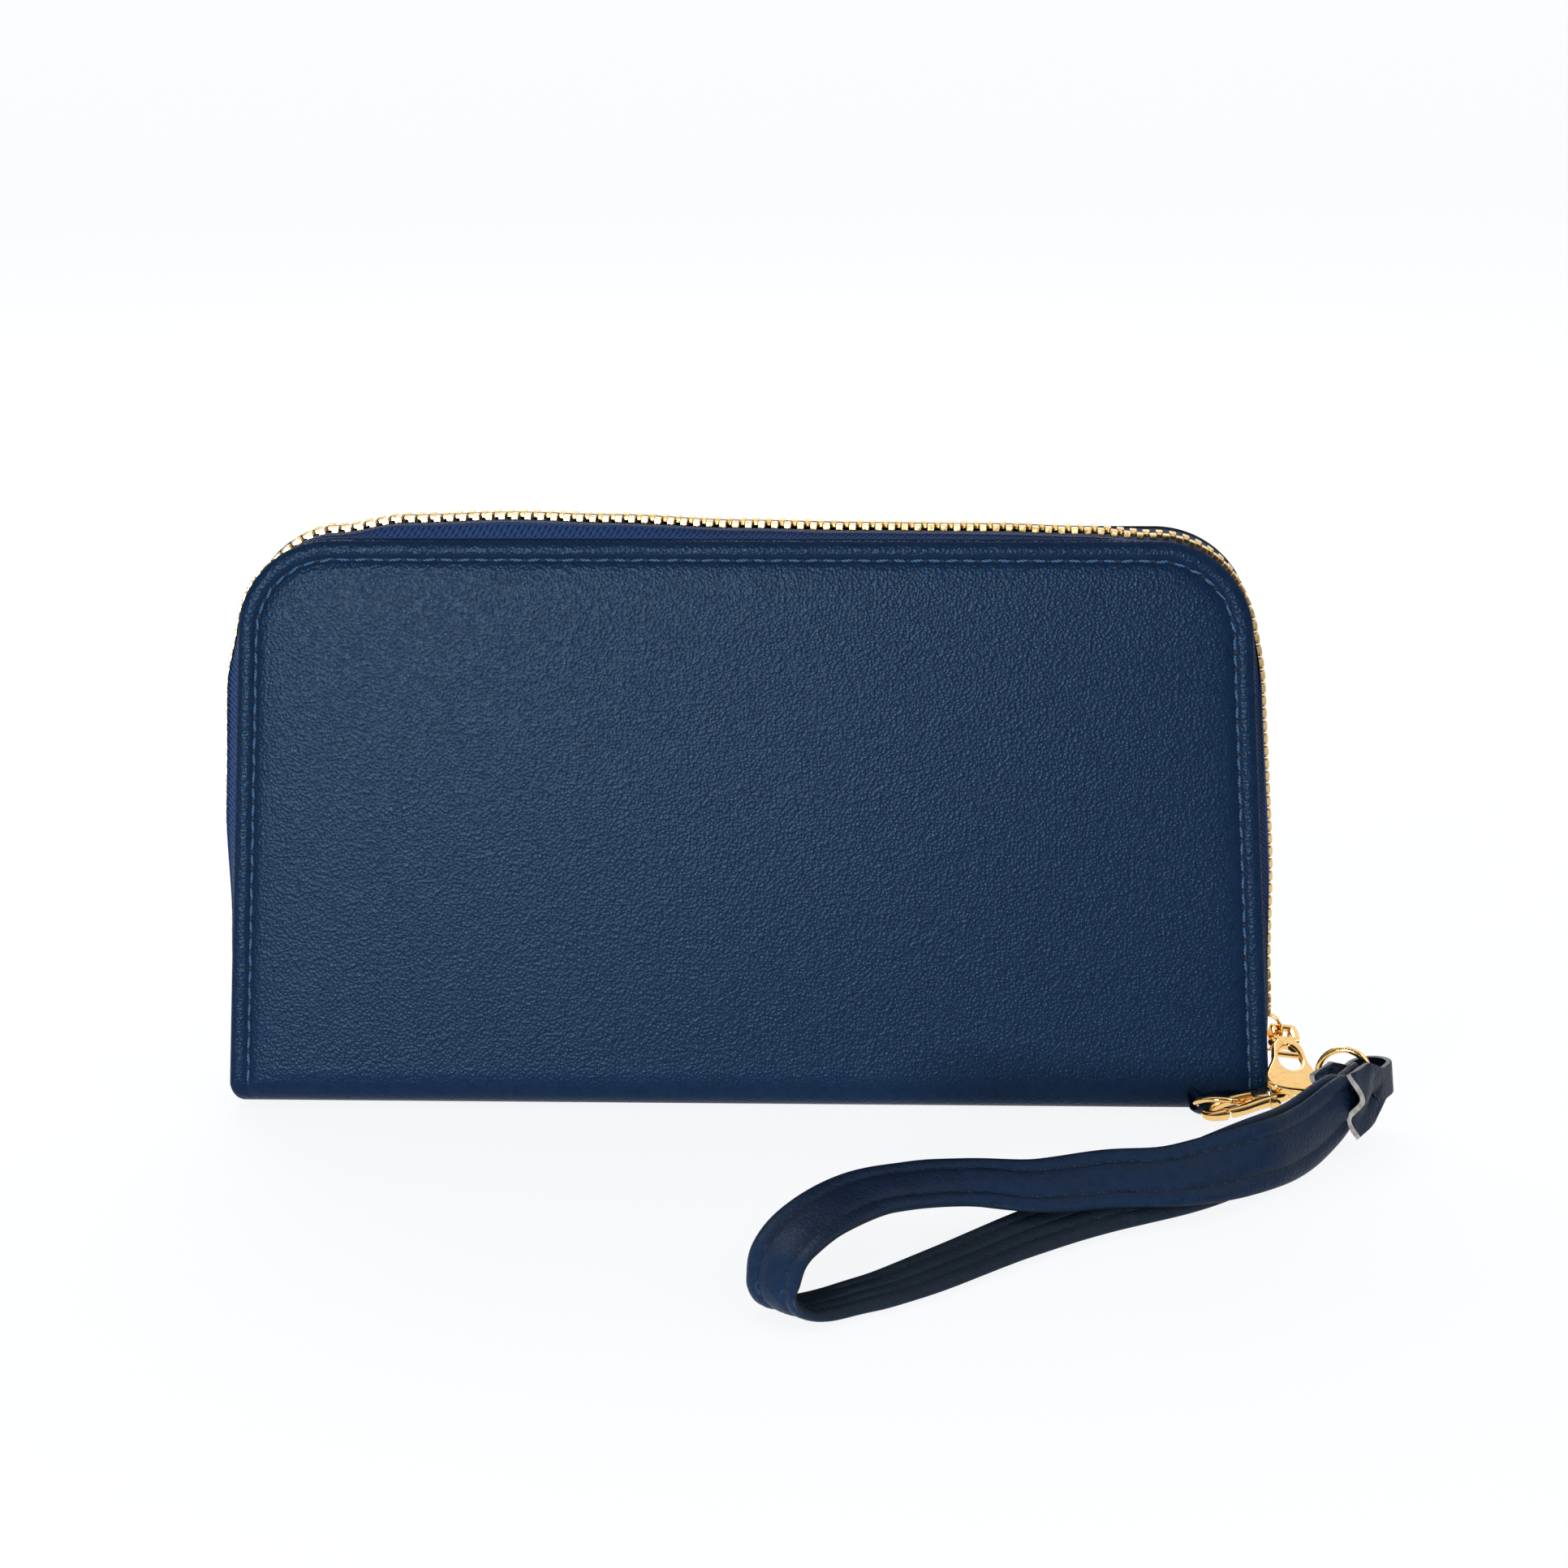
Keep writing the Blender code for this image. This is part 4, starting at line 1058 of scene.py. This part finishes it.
# middle line and the way to the upper edge, from the tab along the upper run, round the end and back
upperRun = [
    (102.5, -46.5, 6.9, -0.16, 0.10, 0.98), (95.0, -56.5, 6.9, -0.24, 0.19, 0.95),
    (80.1, -68.3, 7.2, -0.38, 0.65, 0.64), (67.0, -72.6, 7.8, -0.30, 0.76, 0.57),
    (55.0, -77.7, 8.2, -0.24, 0.85, 0.47), (43.3, -79.5, 9.3, -0.25, 0.89, 0.38),
    (34.5, -84.5, 10.6, -0.40, 0.84, 0.34), (24.9, -93.5, 11.9, -0.52, 0.80, 0.28),
    (16.8, -107.0, 12.0, -0.66, 0.72, 0.18), (12.4, -116.6, 10.2, -0.69, 0.72, 0.06),
    (11.0, -120.6, 6.8, -0.69, 0.72, 0.0), (11.8, -121.9, 3.4, -0.69, 0.72, 0.0)]
lowerRun = [
    (15.4, -120.7, 1.5, -0.69, 0.72, 0.0), (23.0, -115.0, 1.15, -0.69, 0.73, 0.0),
    (33.0, -107.0, 1.6, -0.68, 0.73, 0.07), (50.0, -88.5, 2.25, -0.68, 0.72, 0.16),
    (64.0, -76.5, 3.4, -0.55, 0.76, 0.34), (79.2, -66.9, 5.2, -0.38, 0.65, 0.64),
    (93.0, -55.0, 6.9, -0.24, 0.19, 0.95), (100.4, -45.3, 6.9, -0.16, 0.10, 0.98)]
tabUp = Vector(strap["up"]).normalized()
tabRun = Vector(strap["run"])
tabRun = (tabRun - tabUp * tabRun.dot(tabUp)).normalized()
tabNormal = tabUp.cross(tabRun).normalized()
tabFold = Vector(strap["fold"])


def strapLine():
    stations = []
    for side, order in ((1, (4.6, 9.0, 14.0, 18.0)), (-1, (18.0, 14.0, 9.0, 4.6))):
        held = [(tabFold + tabRun * along + tabNormal * side * 1.15, tabUp) for along in order]
        if side > 0:
            stations += held + [(Vector(row[:3]), Vector(row[3:])) for row in upperRun + lowerRun]
        else:
            stations += held
    line = softLine([place for place, _ in stations], 8)
    edge = softLine([up for _, up in stations], 8)
    ways = []
    for i, point in enumerate(line):
        along = (line[min(i + 1, len(line) - 1)] - line[max(i - 1, 0)]).normalized()
        up = (edge[i] - along * edge[i].dot(along)).normalized()
        ways.append((along, up, up.cross(along)))
    return line, ways


# half width of the strap: full, but drawn in where the tab holds it
def strapHalf(i, count):
    fromEnd = min(i, count - 1 - i) / 8
    part = min(max((fromEnd - 1.6) / 2.0, 0.0), 1.0)
    part = part * part * (3 - 2 * part)
    return strap["held"] / 2 + (strap["width"] - strap["held"]) / 2 * part


def makeStrap():
    line, ways = strapLine()
    count = len(line)
    thick = strap["ply"] / 2
    # outer face: turned edge, seam groove, padded middle; inner face: flat with the butt seam
    outer = [(-0.97, 0.30), (-0.90, 0.62), (-0.80, 0.84), (-0.66, 0.92), (-0.56, 0.78), (-0.50, 0.56),
             (-0.44, 0.78), (-0.32, 1.06), (-0.16, 1.18), (0.0, 1.20)]
    outer += [(-a, b) for a, b in reversed(outer[:-1])]
    inner = [(0.97, -0.30), (0.90, -0.66), (0.78, -0.90), (0.56, -0.96), (0.50, -0.74), (0.44, -0.96),
             (0.25, -0.98), (0.10, -0.96), (0.04, -0.80), (0.0, -0.45)]
    inner += [(-a, b) for a, b in reversed(inner[:-1])]
    rings = []
    for i, point in enumerate(line):
        along, up, across = ways[i]
        half = strapHalf(i, count)
        section = []
        ripple = 0.06 * math.sin(i * 0.83) + 0.05 * math.sin(i * 0.37 + 1.0)
        for a, b in outer + inner:
            proud = b * thick * (1 + (ripple if abs(a) > 0.52 or abs(a) < 0.45 else 0.0))
            section.append(point + up * a * half + across * proud)
        rings.append(section)
    obj = sweptSkin("wrist_strap", rings, None, True, lambda row: 1 if row > len(outer) else 0)
    obj.data.materials.append(strapLeather)
    obj.data.materials.append(innerLeather)
    smoothShade(obj, 60)
    settle(obj, None, "strap", "strap_leather", "strap_loop")
    for label, part in (("upper", 0.5), ("lower", -0.5)):
        for face, sink in (("outer", 0.52), ("inner", -0.70)):
            points, ups = [], []
            for i, point in enumerate(line):
                along, up, across = ways[i]
                points.append(point + up * part * strapHalf(i, count) + across * thick * sink)
                ups.append(across * (1 if sink > 0 else -1))
            skip = 22
            stitchLine("strap_%s_%s" % (face, label), points[skip:-skip], ups[skip:-skip], strap["pitch"],
                       2.4, 0.26, darkThread, "strap", "strap_leather")


tab = {"inner": 3.05, "leather": 1.1, "halfLow": 3.0, "halfHigh": 5.6, "wave": 1.35}


# the tab's leather: down one face, round the eye and back along the other face
def makeTab():
    length = strap["tabLength"]
    cols, rows = 64, 20
    bend = 10

    def place(column, row):
        v = row / rows * 2 - 1
        if column < (cols - bend) / 2:
            along = length * (1 - column / ((cols - bend) / 2))
            angle, side = 0.0, 1
        elif column <= (cols + bend) / 2:
            along = 0.0
            angle = math.pi * (column - (cols - bend) / 2) / bend
            side = 1
        else:
            along = length * (column - (cols + bend) / 2) / ((cols - bend) / 2)
            angle, side = math.pi, -1
        radius = tab["inner"] + 0.55
        near = min(max((along - 3.0) / 6.0, 0.0), 1.0)
        mouth = min(max((along - 5.0) / 12.0, 0.0), 1.0)
        half = tab["halfLow"] + (tab["halfHigh"] - tab["halfLow"]) * near
        pinch = math.exp(-((along - 8.5) ** 2 / 9.0 + (v * 1.3) ** 2 / 0.35))
        swell = tab["wave"] * mouth * math.sin(v * 4.2 + 0.5)
        crease = 0.12 * math.sin(v * 9 + along * 0.8) * near
        out = radius + swell * (1 if side > 0 else -0.5) - 0.8 * pinch + crease
        reach = along - math.sin(angle) * radius
        droop = 0.5 * mouth * (1 - v)
        return (tabFold + tabRun * (reach - 0.9 * mouth * v * side) + tabNormal * math.cos(angle) * out
                + tabUp * (v * half - droop * 0.4))

    obj = gridSheet("tab_leather", cols, rows, place)
    outward = 0.0
    for face in obj.data.polygons:
        middle = face.center / mm - tabFold - tabRun * 6
        outward += face.normal.dot(middle.normalized()) * face.area
    if outward < 0:
        turnOver(obj)
    for finish in (strapLeather, darkEdge, rawEdge):
        obj.data.materials.append(finish)
    wall(obj, tab["leather"], 0.0, 1)
    for face in obj.data.polygons:
        if face.material_index == 1 and (face.center / mm - tabFold).dot(tabRun) > length - 2.5:
            if abs(face.normal.dot(tabRun)) > 0.6:
                face.material_index = 2
    rounded(obj, 0.18, 2, 60)
    smoothShade(obj, 50)
    settle(obj, None, "strap", "strap_leather", "strap_tab")
    places = []
    for side in (1, -1):
        for n in range(5):
            for lean in (-1, 1):
                t = n / 4 * 2 - 1
                point = tabFold + tabRun * (8.5 + t * 2.0) + tabUp * (t * lean * 2.0)
                point += tabNormal * side * (tab["inner"] + 0.45 + 0.30 * abs(t))
                places.append(turnTo(tabRun + tabUp * lean, tabNormal * side, point))
    settle(manyOf("tab_cross_stitches", stitchModel(1.5, 0.28), places), darkThread, "strap", "strap_leather")


makeStrap()
makeTab()
print("strap made")


# a small leather tongue from under the front edge, folded round the ring
def makeRingLoop():
    look = {"held": (85.10, -14.34, 2.14), "along": (-0.534, -0.712, 0.454), "back": (85.1, -8.0, 4.0),
            "eye": 1.15, "half": 1.7, "thick": 0.3}
    centre, along = Vector(look["held"]), Vector(look["along"]).normalized()
    back = Vector(look["back"]) - centre
    reach = back.length
    back = (back - along * back.dot(along)).normalized()
    high = along.cross(back)
    tails = [(0.75, 0.42), (0.5, 0.55), (0.32, 0.9)]
    line = [centre + back * reach * far + high * lift for far, lift in tails]
    for k in range(9):
        turn = math.radians(60 + 30 * k)
        line.append(centre + (back * math.cos(turn) + high * math.sin(turn)) * look["eye"])
    line += [centre + back * reach * far - high * lift for far, lift in reversed(tails)]
    loop = sweptWire("loop_leather", softLine(line, 3), lambda i: along, look["half"], look["thick"], 16)
    return settle(loop, strapLeather, "root", "strap_leather", "ring_loop")


makeRingLoop()

inner = {
    "liningLow": 6.5, "liningHigh": 103.0, "liningIn": 4.4, "liningDeep": 9.05, "liningThick": 0.55,
    "pocketHalf": 86.0, "pocketFoot": 11.8, "pocketTops": (87.7, 76.7, 65.7, 54.7), "pocketDeep": 8.0,
    "step": 0.65, "thick": 0.5, "corner": 4.0,
    "coinHalf": 90.0, "coinDeep": 2.15, "coinLow": 8.1, "coinHigh": 96.0, "coinThick": 0.6,
    "tapeHalf": 87.0, "tapeFoot": 90.9, "tapeHigh": 6.1, "teethEachSide": 34, "teethFoot": 97.75,
}


def makeLining(half, side, body):
    loops = len(rimLoops) - 1
    cols, rows = topCells + 2 * loops, sideCells + loops
    foot, top = wallet["foot"], wallet["top"]

    def place(column, row):
        x, z, inset, proud = panelPoint(column, row, cols, rows, 0)
        share = (z - foot) / (top - foot)
        high = inner["liningLow"] + (inner["liningHigh"] - inner["liningLow"]) * share
        x *= 1 - inner["liningIn"] / widthAt(z)
        deep = inner["liningDeep"] - wallet["lean"] * (high - inner["liningLow"])
        ripple = 0.10 * math.sin(x * 0.13 + high * 0.05) + 0.06 * math.sin(x * 0.31 - high * 0.11)
        return x, side * (deep + ripple * min(inset / 8, 1) + 0.05), high

    obj = gridSheet(half + "_lining_sheet", cols, rows, place)
    faceTowards(obj, (0, -side, 0))
    wall(obj, inner["liningThick"], -1.0)
    return settle(smoothShade(obj, 50), lining, body, "lining", half + "_lining")


def makeSpineLining():
    profile = [(-11.0, 5.0), (-10.6, 4.1), (-10.0, 3.2), (-9.1, 2.5), (-7.8, 2.05), (-5.0, 1.9),
               (-2.0, 1.85), (0.0, 1.9)]
    profile += [(-y, z) for y, z in reversed(profile[:-1])]

    def place(column, row):
        y, z = profile[row]
        x = (column / 80 * 2 - 1) * 95.0
        return x, y, z + 0.08 * math.sin(x * 0.21 + y) * (1 if abs(y) < 9 else 0)

    obj = gridSheet("spine_lining_sheet", 80, len(profile) - 1, place)
    faceTowards(obj, (0, 0, 1))
    wall(obj, 0.4, -1.0)
    return settle(smoothShade(obj, 50), lining, "root", "lining", "spine_lining")


def innerSeam(name, points, side, body, slot):
    ups = [Vector((0, side, 0))] * len(points)
    stitchLine(name, points, ups, 3.4, 2.5, 0.22, darkThread, body, slot)


# one card pocket: a thin leather panel with a turned and sewn top hem
def makePocket(half, side, body, number):
    top, wide, foot = inner["pocketTops"][number], inner["pocketHalf"], inner["pocketFoot"]
    name = "%s_pocket_%d" % (half, number + 1)
    cols, rows = 60, 26
    drops = [0.0, 0.25, 0.7, 1.6, 2.4, 2.9, 3.3, 4.2]
    hems = [0.0, 0.10, 0.16, 0.16, 0.12, -0.06]

    def deepAt(x, z):
        bow = 0.30 * max(0.0, 1 - (x / wide) ** 2) * ((z - foot) / (top - foot)) ** 2
        return inner["pocketDeep"] - inner["step"] * number - wallet["lean"] * (z - foot) - bow

    def place(column, row):
        x = (column / cols * 2 - 1) * wide
        fromTop = rows - row
        if fromTop < len(drops):
            z = top - drops[fromTop]
        else:
            z = foot + (top - drops[-1] - foot) * row / (rows - len(drops) + 1)
        over = max(0.0, inner["corner"] - (top - z))
        trim = inner["corner"] - math.sqrt(max(inner["corner"] ** 2 - over ** 2, 0.0))
        x *= 1 - trim / wide
        hem = hems[fromTop] if fromTop < len(hems) else 0.0
        return x, side * (deepAt(x, z) - hem), z

    obj = gridSheet(name, cols, rows, place)
    faceTowards(obj, (0, -side, 0))
    obj.data.materials.append(innerLeather)
    obj.data.materials.append(darkEdge)
    wall(obj, inner["thick"] - 0.08, -1.0, 1)
    settle(smoothShade(obj, 50), None, body, "leather", "%s_card_pocket_%d" % (half, number + 1))
    seams = {"hem": [(x, top - 2.75) for x in range(-82, 83, 2)]}
    low = foot + 1 if number == 3 else inner["pocketTops"][number + 1] + 0.8
    seams["middle"] = [(0.0, low + (top - 3.2 - low) * k / 12) for k in range(13)]
    for label, spots in seams.items():
        points = [Vector((x, side * (deepAt(x, z) - 0.06), z)) for x, z in spots]
        innerSeam("%s_%s" % (name, label), points, -side, body, "leather")


# the coin pocket: one sheet down the front, round the foot and up the back, sewn flat at both sides
def makeCoinPocket():
    wide, deep, low, high = inner["coinHalf"], inner["coinDeep"], inner["coinLow"], inner["coinHigh"]
    cols, rows, bend = 72, 58, 8

    def place(column, row):
        x = (column / cols * 2 - 1) * wide
        fromEdge = min((wide - abs(x)) / 9.0, 1.0)
        y = 0.78 + (deep - 0.78) * math.sin(fromEdge * math.pi / 2)
        straight = (rows - bend) / 2
        if row <= straight:
            z, flip = high + (low + deep - high) * row / straight, -1
        elif row >= rows - straight:
            z, flip = high + (low + deep - high) * (rows - row) / straight, 1
        else:
            turn = math.pi * (row - straight) / bend
            z, flip = low + deep - deep * math.sin(turn), -math.cos(turn)
        ripple = 0.10 * math.sin(x * 0.09 + z * 0.04) * fromEdge - 0.10
        if z > high - 2.6:
            ripple += 0.08
        return x, flip * (y + ripple), z

    obj = gridSheet("coin_sheet", cols, rows, place)
    outward = sum((face.normal.y * face.center.y) * face.area for face in obj.data.polygons)
    if outward < 0:
        turnOver(obj)
    wall(obj, inner["coinThick"], -1.0)
    settle(smoothShade(obj, 50), innerLeather, "coin_leaf", "lining", "coin_pocket")
    for side, label in ((-1, "front"), (1, "back")):
        points = [Vector((x, side * (deep - 0.02), high - 2.9)) for x in range(-80, 81, 2)]
        innerSeam("coin_%s_hem" % label, points, side, "coin_leaf", "lining")

        def place(column, row):
            x = (column / 90 * 2 - 1) * inner["tapeHalf"]
            z = inner["tapeFoot"] + inner["tapeHigh"] * row / 8
            return x, side * (0.95 - 0.16 * (row / 8) ** 2 + 0.03 * math.sin(x * 0.4)), z

        tapeUv = (2 * inner["tapeHalf"], inner["tapeHigh"])
        tape = gridSheet("coin_%s_tape_cloth" % label, 90, 8, place, tapeUv)
        faceTowards(tape, (0, side, 0))
        wall(tape, 0.35, -1.0)
        settle(smoothShade(tape, 50), tapeCloth, "coin_leaf", "zip_tape", "coin_%s_tape" % label)
        squeeze = Matrix.Diagonal((0.8, 0.5, 0.7, 1))
        places = []
        for n in range(-inner["teethEachSide"], inner["teethEachSide"] + 1):
            seat = (n * zipper["pitch"] + side * zipper["pitch"] / 4, side * 0.05, inner["teethFoot"])
            places.append(turnTo((-side, 0, 0), (0, 0, 1), seat) @ squeeze)
        settle(manyOf("coin_%s_row" % label, toothModel(), places), zipMetal, "coin_leaf", "gold",
               "coin_%s_teeth" % label)


for half, side, body in (("front", -1, "root"), ("back", 1, "back_half")):
    makeLining(half, side, body)
    for number in range(4):
        makePocket(half, side, body, number)
makeSpineLining()
makeCoinPocket()
print("inside made")


# the boards are shown as they are
for name in ("front_board", "back_board"):
    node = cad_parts[name]
    node.data.materials.clear()
    node.data.materials.append(board)

print("all pieces in place")
